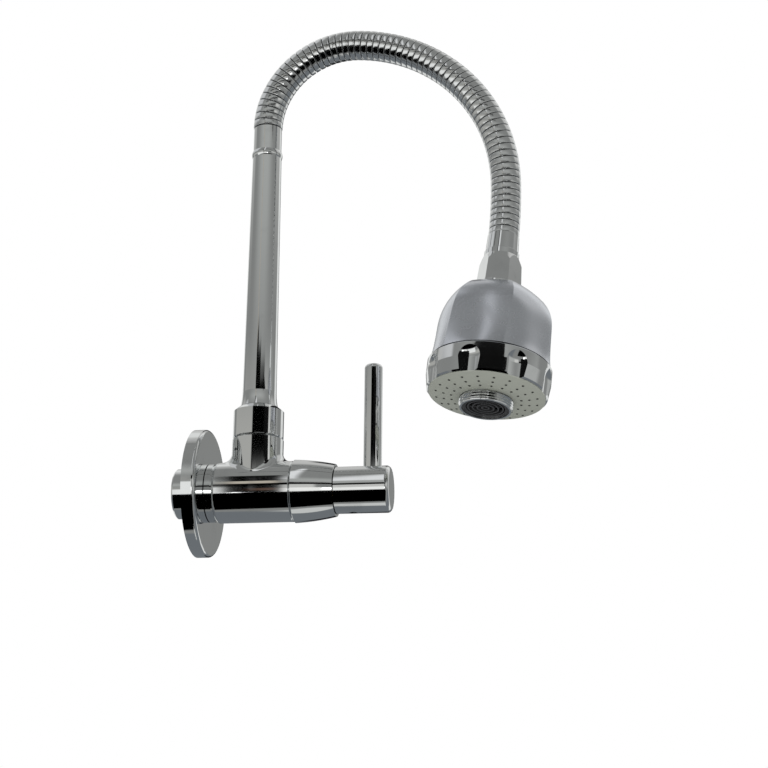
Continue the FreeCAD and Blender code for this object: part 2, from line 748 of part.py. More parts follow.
def hose_tails():
    """The two tails at the ends of the water hose."""
    upper = hose_tail(WATER_HOSE_R)
    upper.translate(Vector(0, 0, RISER_END_Z))
    keep("upper_hose_tail", on_riser(upper))
    lower = hose_tail(WATER_HOSE_R)
    lower.rotate(Vector(0, 0, 0), Vector(1, 0, 0), 180)
    lower.translate(Vector(0, 0, LOW_FERRULE_L))
    keep("lower_hose_tail", on_head(lower))


def lower_ferrule():
    """Smooth sleeve at the end of the ribbed hose, with its threaded spigot."""
    end = LOW_FERRULE_L - FACE
    spigot_end = WASHER_AT - FACE
    spigot_r = NECK_TOP_R - NECK_WALL
    sleeve = turned([
        (-HOSE_SPIGOT, WATER_HOSE_R + RUN),
        (-HOSE_SPIGOT, HOSE_BORE_R - GAP),
        (FACE, HOSE_BORE_R - GAP),
        (FACE, LOW_FERRULE_R),
        (end, LOW_FERRULE_END_R),
        (end, spigot_r),
        (spigot_end, spigot_r),
        (spigot_end, WATER_HOSE_R + RUN),
    ])
    keep("lower_ferrule", on_head(sleeve))


def neck_cone():
    """Tapered six-sided nut that screws on the ferrule and carries the head.
    A chamfer cone rounds off the tops of its flats."""
    start = NECK_AT
    end = BELL_AT - FACE
    lip = BELL_AT - NECK_LIP_T
    bore_r = NECK_TOP_R - NECK_WALL + RUN
    top = hexagon(NECK_TOP_ACROSS, 0, start, NECK_PHASE).OuterWire
    bottom = hexagon(NECK_ACROSS, 0, lip, NECK_PHASE).OuterWire
    chamfer = turned([
        (start, 0),
        (start, NECK_TOP_R),
        (start + NECK_CHAMFER_L, NECK_CORNER_R),
        (lip, NECK_CORNER_R),
        (lip, 0),
    ])
    nut = Part.makeLoft([top, bottom], True, True).common(chamfer)
    nut = nut.fuse(Part.makeCylinder(NECK_LIP_R, end - lip, Vector(0, 0, lip)))
    nut = nut.cut(Part.makeCylinder(bore_r, end - start, Vector(0, 0, start)))
    keep("neck_cone", on_head(nut))
    washer = tube(bore_r - RUN, WATER_BORE_R, WASHER_AT, WASHER_AT + NECK_WASHER_T - FACE)
    keep("neck_washer", on_head(washer))


def bell_section(height, radius, flatness, phase):
    """Closed line of six arcs, flatter than their circle by the flatness."""
    step = 360.0 / BELL_SIDES
    arcs = []
    for i in range(BELL_SIDES):
        points = []
        for share, reach in ((0, radius), (0.5, radius * (1 - flatness)), (1, radius)):
            angle = math.radians(phase + (i + share) * step)
            points.append(Vector(reach * math.cos(angle), reach * math.sin(angle), height))
        arcs.append(Part.Arc(*points).toShape())
    return Part.Wire(arcs)


def bell_solid(wall):
    """Solid inside the bell's outer face, or inside its wall. Its six flats
    twist a little on the way down and fade out at the round seam."""
    rows = (
        (0.0, BELL_TOP_R, BELL_FLATNESS),
        (BELL_BROW_AT, BELL_BROW_R, BELL_FLATNESS),
        (BELL_SHOULDER_AT, BELL_SHOULDER_R, BELL_FLATNESS),
        (BELL_WAIST_AT, BELL_WAIST_R, BELL_WAIST_FLATNESS),
        (BELL_L, BELL_R, 0.0),
    )
    last = len(rows) - 1
    sections = []
    for i, (at, radius, flatness) in enumerate(rows):
        before = rows[max(i - 1, 0)]
        after = rows[min(i + 1, last)]
        slope = math.atan2(after[1] - before[1], after[0] - before[0])
        drop = wall * math.sin(slope)
        if i == 0:
            drop = wall
        if i == last:
            drop = 0.0
        phase = BELL_PHASE + BELL_TWIST * at / BELL_L
        inside = radius - wall * math.cos(slope)
        sections.append(bell_section(BELL_AT + at + drop, inside, flatness, phase))
    return Part.makeLoft(sections, True, False)


def head_shell():
    """Bell of the head: a thin shell with soft flats that fade at the seam."""
    outer = bell_solid(0)
    inner = bell_solid(BELL_WALL)
    hole = Part.makeCylinder(CORE_STUB_R + RUN, BELL_WALL * 2, Vector(0, 0, BELL_AT - BELL_WALL / 2))
    keep("head_shell", on_head(outer.cut(inner).cut(hole)))


def head_core():
    """Moulded core inside the bell: threaded stub, water way and jet plate.
    The plate is trapped between the grip ring's lip and the spray face."""
    shoulder = BELL_AT + BELL_WALL + FACE
    plate_end = CORE_AT + CORE_PLATE_T
    core = turned([
        (BELL_AT - CORE_STUB_L, CORE_BORE_R),
        (BELL_AT - CORE_STUB_L, CORE_STUB_R),
        (shoulder, CORE_STUB_R),
        (shoulder, CORE_TOWER_R),
        (CORE_AT, CORE_TOWER_R),
        (CORE_AT, CORE_R),
        (plate_end, CORE_R),
        (plate_end, CORE_BORE_R),
    ])
    for i in range(CORE_JETS):
        angle = 2 * math.pi * i / CORE_JETS
        place = Vector(CORE_JET_ORBIT * math.cos(angle), CORE_JET_ORBIT * math.sin(angle), CORE_AT)
        core = core.cut(Part.makeCylinder(CORE_JET_R, CORE_PLATE_T, place))
    groove_in = SEAL_R - SEAL_SECTION_R - RUN
    groove_out = SEAL_R + SEAL_SECTION_R + RUN
    depth = 2 * SEAL_SECTION_R
    core = core.cut(tube(groove_out, groove_in, plate_end - depth, plate_end))
    keep("head_core", on_head(core))
    keep("selector_seal", on_head(o_ring(SEAL_SECTION_R, SEAL_R, plate_end - SEAL_SECTION_R)))


def selector_ring():
    """Grip ring that is turned to choose the jet, with arched flutes."""
    outer = turned([
        (RING_AT, 0),
        (RING_AT, RING_R - RING_EDGE),
        (RING_AT + RING_EDGE, RING_R),
        (RING_AT + RING_STRAIGHT_L, RING_R),
        (RING_END - RING_EDGE, RING_FACE_R + RING_EDGE),
        (RING_END, RING_FACE_R),
        (RING_END, 0),
    ])
    inner_r = RING_FACE_R - RING_WALL
    lip_end = CORE_AT - GAP
    ring = outer.cut(Part.makeCylinder(inner_r, FACE_AT - lip_end, Vector(0, 0, lip_end)))
    ring = ring.cut(Part.makeCylinder(inner_r - RING_LIP, RING_L, Vector(0, 0, RING_AT)))
    flute = Part.makeCylinder(FLUTE_R, RING_L)
    flute = flute.fuse(Part.makeSphere(FLUTE_R)).removeSplitter()
    flute.rotate(Vector(0, 0, 0), Vector(0, 1, 0), -FLUTE_TILT)
    rise = math.sqrt(FLUTE_R ** 2 - (FLUTE_R - FLUTE_DEPTH) ** 2)
    flute.translate(Vector(RING_R + FLUTE_R - FLUTE_DEPTH, 0, RING_AT + FLUTE_TOP + rise))
    for i in range(FLUTES):
        one = flute.copy()
        one.rotate(Vector(0, 0, 0), Vector(0, 0, 1), FLUTE_PHASE + 360 * i / FLUTES)
        ring = ring.cut(one)
    keep("selector_ring", on_head(ring))


def spray_face():
    """Crowned face plate of the head, with its lip over the ring's end, its
    rows of jets and its centre boss."""
    rim_r = RING_FACE_R - RING_WALL - RUN
    lip_r = RING_FACE_R - FACE_LIP_INSET
    lip = FACE_AT - FACE_LIP_T
    side = lip + FACE_LIP_EDGE
    crown = FACE_AT + FACE_CROWN
    face = turned([
        (FACE_AT - FACE_T, OUTLET_SHANK_R + RUN),
        (FACE_AT - FACE_T, rim_r),
        (lip, rim_r),
        (lip, lip_r),
        (side, lip_r),
        (((side + crown) / 2 + FACE_BULGE, (lip_r + FACE_HUB_R) / 2), (crown, FACE_HUB_R)),
        (FACE_AT + FACE_CROWN, OUTLET_SHANK_R + RUN),
    ])
    wall = tube(FACE_HUB_R, OUTLET_SHANK_R + RUN, FACE_AT - FACE_T - FACE_HUB_L + FACE, FACE_AT)
    face = face.fuse(wall)
    jets = []
    for row_r in JET_ROWS:
        for i in range(JETS_PER_ROW):
            angle = 2 * math.pi * i / JETS_PER_ROW
            place = Vector(row_r * math.cos(angle), row_r * math.sin(angle), FACE_AT - 2 * FACE_T)
            jets.append(Part.makeCylinder(JET_R, 4 * FACE_T, place))
    keep("spray_face", on_head(face.cut(Part.makeCompound(jets))))


def outlet():
    """Threaded outlet collar and the flow former that sits in it."""
    end = FACE_AT + OUTLET_PROUD
    start = FACE_AT - FACE_T - FACE_HUB_L + FACE
    floor = end - INSERT_L - INSERT_RECESS - OUTLET_FLOOR
    thread = FACE_AT + FACE_CROWN + FACE
    collar = turned([
        (start, OUTLET_WATER_R),
        (start, OUTLET_SHANK_R),
        (thread, OUTLET_SHANK_R),
        (thread, OUTLET_R),
        (end - RING_EDGE, OUTLET_R),
        (end, OUTLET_R - RING_EDGE),
        (end, OUTLET_BORE_R),
        (floor + OUTLET_FLOOR, OUTLET_BORE_R),
        (floor + OUTLET_FLOOR, OUTLET_WATER_R),
    ])
    keep("outlet_collar", on_head(collar))

    low = end - INSERT_RECESS - INSERT_L
    high = low + INSERT_L
    housing = tube(OUTLET_BORE_R - RUN, OUTLET_BORE_R - RUN - INSERT_WALL, low + FACE, high)
    keep("aerator_housing", on_head(housing))

    screen_r = OUTLET_BORE_R - RUN - INSERT_WALL - RUN
    rings = tube(screen_r, screen_r - SCREEN_RING_W, high - SCREEN_T, high)
    for radius in SCREEN_RINGS:
        rings = rings.fuse(tube(radius, radius - SCREEN_RING_W, high - SCREEN_T, high))
    for i in range(SCREEN_SPOKES):
        spoke = Part.makeBox(screen_r - SCREEN_RING_W / 2, SCREEN_RING_W, SCREEN_T / 2,
                             Vector(0, -SCREEN_RING_W / 2, high - SCREEN_T))
        spoke.rotate(Vector(0, 0, 0), Vector(0, 0, 1), 360 * i / SCREEN_SPOKES)
        rings = rings.fuse(spoke)
    keep("aerator_screen", on_head(rings))


def build():
    """Make every piece and write one STEP file for each."""
    wall_flange()
    valve_body()
    cartridge()
    spindle()
    bonnet_sleeve()
    lever()
    spout_nut()
    riser_pipe()
    upper_ferrule()
    hose_lengths()
    water_hose()
    hose_tails()
    lower_ferrule()
    neck_cone()
    head_shell()
    head_core()
    selector_ring()
    spray_face()
    outlet()
    os.makedirs("parts", exist_ok=True)
    for name, shape in PARTS.items():
        shape.exportStep("parts/%s.step" % name)
        print("%-22s %d solid, %9.1f mm3, valid %s" % (name, len(shape.Solids), shape.Volume, shape.isValid()))


build()
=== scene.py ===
import json
import math

import bmesh
import bpy
from bpy.props import FloatProperty, FloatVectorProperty, IntProperty, PointerProperty
from mathutils import Matrix, Vector

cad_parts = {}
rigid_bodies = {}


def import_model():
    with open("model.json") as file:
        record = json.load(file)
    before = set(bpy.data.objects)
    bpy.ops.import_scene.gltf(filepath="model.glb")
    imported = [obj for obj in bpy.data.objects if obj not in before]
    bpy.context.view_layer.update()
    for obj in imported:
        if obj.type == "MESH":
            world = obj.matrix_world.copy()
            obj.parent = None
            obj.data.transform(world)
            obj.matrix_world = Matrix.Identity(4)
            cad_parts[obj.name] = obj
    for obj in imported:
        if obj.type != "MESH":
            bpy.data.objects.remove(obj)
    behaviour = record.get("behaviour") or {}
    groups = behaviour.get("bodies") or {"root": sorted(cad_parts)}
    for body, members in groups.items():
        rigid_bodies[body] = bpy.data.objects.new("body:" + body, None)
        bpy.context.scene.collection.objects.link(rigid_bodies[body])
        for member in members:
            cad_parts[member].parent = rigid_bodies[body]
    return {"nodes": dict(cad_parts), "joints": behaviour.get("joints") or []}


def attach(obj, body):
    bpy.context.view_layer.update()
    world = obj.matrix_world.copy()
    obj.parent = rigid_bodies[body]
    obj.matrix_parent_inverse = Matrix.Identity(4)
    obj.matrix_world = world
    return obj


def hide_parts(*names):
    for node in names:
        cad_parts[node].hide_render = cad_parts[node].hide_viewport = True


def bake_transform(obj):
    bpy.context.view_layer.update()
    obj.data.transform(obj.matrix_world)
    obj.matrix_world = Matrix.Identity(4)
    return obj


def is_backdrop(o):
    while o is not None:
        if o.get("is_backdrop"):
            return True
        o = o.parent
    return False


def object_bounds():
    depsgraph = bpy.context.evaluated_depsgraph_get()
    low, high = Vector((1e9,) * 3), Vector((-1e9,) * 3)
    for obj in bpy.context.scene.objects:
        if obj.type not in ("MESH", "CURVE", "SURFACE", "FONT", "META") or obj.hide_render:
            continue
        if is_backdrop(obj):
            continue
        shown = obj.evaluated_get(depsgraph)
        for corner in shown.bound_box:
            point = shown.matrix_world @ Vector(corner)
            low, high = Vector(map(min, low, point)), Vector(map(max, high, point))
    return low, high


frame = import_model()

bl_info = {
    "name": "Wall faucet",
    "version": (1, 0, 0),
    "blender": (4, 5, 0),
    "location": "3D View > Sidebar > Faucet",
    "description": "Finishes and fine pieces of a wall-mounted kitchen faucet",
    "category": "Object",
}

CAD_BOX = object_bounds()
MM = 0.001

# Route of the ribbed hose: an upright arch of two tangent arcs, and a last one
# that leans back and to the front. Each arc has its radius, the degrees that it
# turns through and the way it turns, where None keeps that of the arc before.
RISER_AT = Vector((0.032, 0.0, 0.2084))
ARCH_TURN = math.radians(5.0)
ARCH_OUT = Vector((math.cos(ARCH_TURN), -math.sin(ARCH_TURN), 0))
ARCH_SIDE = Vector((math.sin(ARCH_TURN), math.cos(ARCH_TURN), 0))
LEAN_TURN = math.radians(62.0)
LEAN_WAY = ARCH_OUT * -math.cos(LEAN_TURN) - ARCH_SIDE * math.sin(LEAN_TURN)
ARCH_ARCS = ((0.0465, 96.0, ARCH_OUT), (0.093, 84.0, None), (0.185, 9.6, LEAN_WAY))
ARCH_LENGTH = sum(radius * math.radians(turn) for radius, turn, way in ARCH_ARCS)

# The hose is made of lengths that bend against each other, each of a few turns
HOSE_LENGTHS = 11
TURNS_PER_LENGTH = 6
LENGTH_PITCH = ARCH_LENGTH / HOSE_LENGTHS
RIB_PITCH = LENGTH_PITCH / TURNS_PER_LENGTH
BENDS = sorted(
    (joint for joint in frame["joints"] if joint["name"].startswith("neck_bend")),
    key=lambda joint: joint["name"],
)
# Share of a stretch, at each end, meant to stay stiff when its joint bends; carry measures it off
# but bends nothing
STIFF_SHARE = 0.15
# Where rings of faces stand along one turn, closer at the slit between turns
STATIONS = (
    0.0, 0.025, 0.036, 0.047, 0.0575, 0.085, 0.13, 0.25,
    0.5, 0.75, 0.87, 0.915, 0.9425, 0.953, 0.964, 0.975,
)
# The water hose inside, from the start of the ribbed hose, and its rings of
# faces for each turn of that hose
WATER_START = -0.0144
WATER_END = ARCH_LENGTH + 0.0096
WATER_ROWS = 2

# Head: the middle of its face and its axis, from the joint that turns the grip
# ring; the end of the hose, behind the face; and a direction across the head
FACE_TURN = [joint for joint in frame["joints"] if joint["name"] == "selector_turn"][0]
FACE_AT = Vector(FACE_TURN["pos_m"])
HEAD_AXIS = Vector(FACE_TURN["axis"]).normalized()
HEAD_LENGTH = 92.5 * MM
HEAD_AT = FACE_AT - HEAD_AXIS * HEAD_LENGTH
HEAD_ACROSS = (ARCH_SIDE - HEAD_AXIS * ARCH_SIDE.dot(HEAD_AXIS)).normalized()

# Camera, fitted to the photograph, with its angles in degrees. The target is
# where the riser's axis meets the valve's, with its place in the picture and
# the scale there, in pixels to a metre.
IMAGE_SIZE = 768
FOCAL_PIXELS = 1700.0
SENSOR = 36.0
CLIP_START = 0.01
VIEW_TURN = 9.0
VIEW_RISE = 16.5
VIEW_ROLL = 0.6
TARGET = Vector((0.032, 0.0, 0.0))
TARGET_PIXEL = (256.5, 492.4)
VIEW_SCALE = 1900.0

# Lamps: steps to the right, away from the camera and up from the point that
# they light, their width and height, and how bright they would look
LIT_POINT = Vector((0.09, 0.0, 0.09))
LAMPS = {
    "key": ((-1.0, -1.1, 0.9), (0.7, 0.7), 1.6),
    "fill": ((1.3, -0.9, 0.2), (0.4, 0.9), 0.9),
}
FLOOR_HALF = 3.0

# What the metal mirrors: a grey room with soft-edged panels, each laid over
# those before it. A panel runs between two values of its measure, then between
# two rises from level, each pair followed by the softness of its edges, all in
# degrees. "turn" goes from the front to the open side of the arch, "spread" is
# the same to either side, and "side" is the lean to the open one, in front only.
ROOM_RADIUS = 2.5
ROOM_GREY = (0.25, 0.255, 0.25)
PANELS = (
    ("spread", 95, 200, 16, 28, 74, 16, (0.58, 0.58, 0.57)),     # pale wall high behind
    ("spread", 80, 200, 14, -82, 2, 14, (0.17, 0.185, 0.2)),     # shade low behind
    ("spread", -5, 200, 3, -95, -79, 3, (0.62, 0.63, 0.62)),     # pale floor
    ("spread", 134, 158, 6, -26, 66, 8, (0.8, 0.81, 0.8)),       # windows far behind
    ("spread", 172, 200, 4, -26, 52, 6, (0.02, 0.02, 0.022)),    # dark doorway between them
    ("turn", -110, -16, 8, 2, 18, 7, (0.44, 0.44, 0.42)),        # pale wall on the left
    ("turn", 44, 105, 12, 2, 18, 7, (0.44, 0.45, 0.44)),         # pale wall on the right
    ("turn", 44, 66, 10, 6, 17, 6, (0.66, 0.66, 0.64)),          # brighter part of it
    ("turn", -45, 45, 60, 22, 36, 16, (0.42, 0.43, 0.42)),       # glow over the camera
    ("turn", -125, -68, 8, 32, 72, 5, (0.6, 0.61, 0.62)),        # window high on the left
    ("turn", -14, -4, 7, 34, 78, 5, (0.82, 0.83, 0.84)),         # strip lamp over the camera
    ("turn", -62, -9, 6, -13, 9, 3, (0.9, 0.91, 0.9)),           # sheet left of the lens
    ("turn", -13, 7, 3, -13, 13, 3, (0.62, 0.62, 0.6)),          # reflector beside the lens
    ("turn", -13, 17, 2, -12, 1, 2, (0.98, 0.98, 0.96)),         # its bright lower part
    ("turn", 11, 18, 2, -7, -1, 2, (4.0, 4.0, 4.0)),             # small lamp at the lens
    ("turn", -15, 42, 1.5, 13.7, 19.2, 1.5, (0, 0, 0)),          # dark bar over the lens,
    ("turn", -15, 14, 1.5, 18.5, 20.2, 1.0, (0, 0, 0)),          # with a top that
    ("turn", -15, -4, 1.5, 19.8, 21.2, 1.0, (0, 0, 0)),          # slants up to the left
    ("turn", -75, 52, 2, -72, -13, 2, (0, 0, 0)),                # dark table edge
    ("side", -13.7, -11.0, 0.5, -15, 51, 1, (0, 0, 0)),          # dark stand
    ("side", -13.5, -11.2, 0.8, 20.5, 30, 1.5, (0.52, 0.47, 0.4)),     # lit part of it
    ("side", -12.4, -11.3, 0.8, -6, 3, 1, (0.09, 0.05, 0.035)),        # warm streak on it
    ("side", -13.3, -12.9, 0.3, -12.4, -10.2, 1, (3.0, 3.0, 3.0)),     # small lamp at its foot
)
# Dark cards upright in front of the object, one that the grip ring mirrors and
# one that the top of the hose mirrors: from and to x, from and to z
CARD_FRONT = -0.12
NEAR_CARDS = ((0.118, 0.215, 0.05, 0.109), (-0.05, 0.2, 0.288, 0.306))


class Wire:
    """One output socket of a node tree, with arithmetic on it."""

    def __init__(self, bench, socket):
        self.bench = bench
        self.socket = socket

    def math(self, operation, *values):
        inputs = dict(enumerate(values))
        return self.bench.add("ShaderNodeMath", {"operation": operation}, inputs)

    def out(self, name):
        return Wire(self.bench, self.socket.node.outputs[name])

    def __add__(self, other):
        return self.math("ADD", self, other)

    def __radd__(self, other):
        return self.math("ADD", other, self)

    def __sub__(self, other):
        return self.math("SUBTRACT", self, other)

    def __rsub__(self, other):
        return self.math("SUBTRACT", other, self)

    def __mul__(self, other):
        return self.math("MULTIPLY", self, other)

    def __rmul__(self, other):
        return self.math("MULTIPLY", other, self)

    def __truediv__(self, other):
        return self.math("DIVIDE", self, other)

    def __pow__(self, other):
        return self.math("POWER", self, other)

    def __abs__(self):
        return self.math("ABSOLUTE", self)

    def step(self, low, high):
        """0 below low, 1 above high, smooth between them."""
        ranges = {"Value": self, "From Min": low, "From Max": high}
        return self.bench.add("ShaderNodeMapRange", {"interpolation_type": "SMOOTHSTEP"}, ranges)


class Bench:
    """Adds nodes to one tree: a type, its settings, and its sockets."""

    def __init__(self, tree):
        self.tree = tree

    def add(self, kind, settings=None, inputs=None, output=0):
        node = self.tree.nodes.new(kind)
        for key, value in (settings or {}).items():
            setattr(node, key, value)
        for key, value in (inputs or {}).items():
            if isinstance(value, Wire):
                self.tree.links.new(value.socket, node.inputs[key])
            else:
                node.inputs[key].default_value = value
        return Wire(self, node.outputs[output]) if node.outputs else None

    def place(self):
        """Point of the surface, in the object's own coordinates."""
        return self.add("ShaderNodeTexCoord", output="Object")

    def noise(self, scale, detail):
        """Noise between 0 and 1, with features about 1/scale metres wide."""
        inputs = {"Vector": self.place(), "Scale": scale, "Detail": detail}
        return self.add("ShaderNodeTexNoise", {}, inputs)

    def mix(self, factor, first, second):
        """Colour between two colours."""
        inputs = {0: factor, 6: first, 7: second}
        return self.add("ShaderNodeMix", {"data_type": "RGBA"}, inputs, output=2)

    def bump(self, height, distance):
        """Normal of a surface with that height, at that depth in metres."""
        inputs = {"Height": height, "Distance": distance, "Strength": 1.0}
        return self.add("ShaderNodeBump", {}, inputs)

    def surface(self, inputs):
        """Principled surface on the material's output."""
        shader = self.add("ShaderNodeBsdfPrincipled", {}, inputs)
        self.add("ShaderNodeOutputMaterial", {}, {"Surface": shader})


def new_material(name):
    """Empty material and the bench that fills it."""
    material = bpy.data.materials.new(name)
    material.use_nodes = True
    material.node_tree.nodes.clear()
    return material, Bench(material.node_tree)


def rgba(colour, share=1.0):
    """Colour as a socket takes it, dimmed to a share of itself."""
    return tuple(share * part for part in colour) + (1.0,)


def metal_finish(name, tint, rough, wave_depth, smudge):
    """Plated or bare metal: soft waves left by polishing, smudges and specks."""
    bench = new_material(name)[1]
    waves = bench.noise(scale=28.0, detail=1.0)
    handled = bench.noise(scale=75.0, detail=4.0).step(0.52, 0.75)
    specks = bench.noise(scale=1800.0, detail=1.0).step(0.76, 0.84)
    soiled = 0.5 * handled + 0.5 * specks
    bench.surface({
        "Base Color": bench.mix(soiled, rgba(tint), rgba(tint, 0.84)),
        "Metallic": 1.0,
        "Roughness": rough + smudge * handled + 0.04 * specks,
        "Normal": bench.bump(waves, wave_depth),
    })


def strip_finish(settings):
    """Chromed wound strip of the ribbed hose, dull in its slits, with painted shade making the
    slits near-black.
    """
    bench = new_material("hose_strip_chrome")[1]
    slit = bench.add("ShaderNodeAttribute", {"attribute_name": "slit"}, output="Fac")
    # Painted shade: the slits between turns are coloured near-black and made less metallic,
    # standing in for the shade in the gaps.
    painted_slit_shade = slit.step(0.04, 0.6)
    rubbed = bench.noise(scale=160.0, detail=3.0)
    specks = bench.noise(scale=2200.0, detail=1.0).step(0.72, 0.8)
    bench.surface({
        "Base Color": bench.mix(painted_slit_shade, rgba(settings.strip_tint), rgba(settings.slit_shade_tint)),
        "Metallic": 1.0 - 0.6 * painted_slit_shade,
        "Roughness": settings.strip_rough + 0.08 * rubbed + 0.35 * painted_slit_shade + 0.2 * specks,
        "Normal": bench.bump(rubbed, 0.01 * MM),
    })


def satin_finish(settings):
    """Satin plating on the moulded bell, with faint flow marks and dust."""
    bench = new_material("satin_plate")[1]
    flow = bench.noise(scale=22.0, detail=2.0)
    grain = bench.noise(scale=3500.0, detail=2.0)
    worn = bench.noise(scale=60.0, detail=4.0).step(0.55, 0.8)
    tint = settings.satin_tint
    bench.surface({
        "Base Color": bench.mix(0.6 * worn, rgba(tint), rgba(tint, 0.93)),
        "Metallic": 1.0,
        "Roughness": settings.satin_rough + 0.07 * worn + 0.05 * grain,
        "Normal": bench.bump(flow + 0.01 * grain, 0.04 * MM),
    })


def plastic_finish(name, tint, rough, grain_depth, marks):
    """Moulded plastic or rubber: fine grain, faint marks, uneven gloss."""
    bench = new_material(name)[1]
    grain = bench.noise(scale=2400.0, detail=3.0)
    blotch = bench.noise(scale=90.0, detail=4.0).step(0.35, 0.75)
    bench.surface({
        "Base Color": bench.mix(marks * blotch, rgba(tint), rgba(tint, 0.8)),
        "Roughness": rough + 0.12 * blotch,
        "Normal": bench.bump(grain, grain_depth),
    })


def arch(distance):
    """Point on the hose's centre line, a distance along it. The line runs on
    straight before its start and after its end."""
    point = RISER_AT.copy()
    ahead = Vector((0, 0, 1))
    if distance < 0:
        return point + ahead * distance
    left = distance
    for radius, turn, way in ARCH_ARCS:
        inward = way or inward
        bend = min(left / radius, math.radians(turn))
        along, across = math.cos(bend), math.sin(bend)
        point = point + inward * (radius * (1 - along)) + ahead * (radius * across)
        ahead, inward = ahead * along + inward * across, inward * along - ahead * across
        left -= bend * radius
    return point + ahead * left


def on_head(along, angle, reach):
    """Point at a distance along the head's axis from the end of the hose, and
    at an angle and a distance from the axis."""
    other = HEAD_AXIS.cross(HEAD_ACROSS)
    out = HEAD_ACROSS * math.cos(angle) + other * math.sin(angle)
    return HEAD_AT + HEAD_AXIS * along + out * reach


def node_group(name, sockets):
    """Geometry node tree with Geometry in and out, and inputs named by kind.
    Gives the bench that fills it and its group input."""
    tree = bpy.data.node_groups.new(name, "GeometryNodeTree")
    face = tree.interface
    face.new_socket("Geometry", in_out="INPUT", socket_type="NodeSocketGeometry")
    for kind, labels in sockets.items():
        for label in labels:
            face.new_socket(label, in_out="INPUT", socket_type="NodeSocket" + kind)
    face.new_socket("Geometry", in_out="OUTPUT", socket_type="NodeSocketGeometry")
    bench = Bench(tree)
    return bench, bench.add("NodeGroupInput")


def end_group(bench, geometry, finish):
    """End a tree in plain geometry with a material on it, and give the tree."""
    real = bench.add("GeometryNodeRealizeInstances", {}, {"Geometry": geometry})
    inputs = {"Geometry": real, "Material": finish}
    finished = bench.add("GeometryNodeSetMaterial", {}, inputs)
    bench.add("NodeGroupOutput", {}, {"Geometry": finished})
    return bench.tree


def hose_tree():
    """Geometry nodes that sweep a circle along a line, its radius following
    rounded turns with a narrow slit between them."""
    bench, entry = node_group("swept_turns", {
        "Float": ("Radius", "Pitch", "Crown", "Slit depth", "Slit floor", "Slit mouth", "Offset"),
        "Int": ("Sides",),
        "Material": ("Finish",),
    })
    line = bench.add("GeometryNodeMeshToCurve", {}, {"Mesh": entry})
    along = bench.add("GeometryNodeSplineParameter", output="Length")
    turns = (along + entry.out("Offset")) / entry.out("Pitch")
    across = abs(2.0 * turns.math("FRACT", turns) - 1.0)
    slit = across.step(1.0 - entry.out("Slit mouth"), 1.0 - entry.out("Slit floor"))
    rounding = entry.out("Crown") * across ** 4.0
    radius = entry.out("Radius") - rounding - entry.out("Slit depth") * slit
    marked = bench.add(
        "GeometryNodeStoreNamedAttribute",
        {"data_type": "FLOAT", "domain": "POINT"},
        {"Geometry": line, "Name": "slit", "Value": slit},
    )
    circle = bench.add(
        "GeometryNodeCurvePrimitiveCircle",
        {"mode": "RADIUS"},
        {"Resolution": entry.out("Sides"), "Radius": 1.0},
    )
    inputs = {"Curve": marked, "Profile Curve": circle, "Scale": radius}
    swept = bench.add("GeometryNodeCurveToMesh", {}, inputs)
    smooth = bench.add("GeometryNodeSetShadeSmooth", {}, {"Geometry": swept})
    return end_group(bench, smooth, entry.out("Finish"))


def set_inputs(modifier, values):
    """Set a modifier's inputs by the identifiers of their sockets."""
    for item in modifier.node_group.interface.items_tree:
        if item.in_out == "INPUT" and item.name in values:
            modifier[item.identifier] = values[item.name]


def link_mesh(name, mesh):
    """New object at the origin for a mesh."""
    piece = bpy.data.objects.new(name, mesh)
    bpy.context.scene.collection.objects.link(piece)
    return piece


def settled(piece):
    """Replace an object's mesh by its evaluated one and drop its modifiers."""
    graph = bpy.context.evaluated_depsgraph_get()
    graph.update()
    mesh = bpy.data.meshes.new_from_object(piece.evaluated_get(graph), depsgraph=graph)
    piece.modifiers.clear()
    old = piece.data
    piece.data = mesh
    bpy.data.meshes.remove(old)
    mesh.name = piece.name
    return piece


def swept_piece(name, tree, rows, values, wall):
    """Tube along the hose's route, with rings of faces at the distances in
    rows, and a wall."""
    mesh = bpy.data.meshes.new(name)
    edges = [(i, i + 1) for i in range(len(rows) - 1)]
    mesh.from_pydata([arch(distance) for distance in rows], edges, [])
    piece = link_mesh(name, mesh)
    sweep = piece.modifiers.new("sweep", "NODES")
    sweep.node_group = tree
    set_inputs(sweep, dict(values, Offset=rows[0]))
    shell = piece.modifiers.new("wall", "SOLIDIFY")
    shell.thickness = wall
    shell.offset = -1.0
    shell.use_even_offset = False
    return settled(piece)


def hose_runs(start, end):
    """Stretches of the hose, cut at the middle of each length, with the bodies
    of each: two across a joint, one at the hose's ends."""
    cuts = [start] + [(k + 0.5) * LENGTH_PITCH for k in range(HOSE_LENGTHS)] + [end]
    bodies = [BENDS[0]["parent"]] + [joint["child"] for joint in BENDS]
    for index, (low, high) in enumerate(zip(cuts, cuts[1:])):
        yield index, low, high, bodies[max(index - 1, 0):index + 1]


def carry(piece, bodies, low, high):
    """Let a stretch ride on its body; one across a joint only gets its place baked into its mesh.
    """
    if len(bodies) == 1:
        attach(piece, bodies[0])
        return
    stiff = STIFF_SHARE * (high - low)
    arch(low + stiff)
    arch(high - stiff)
    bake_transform(piece)


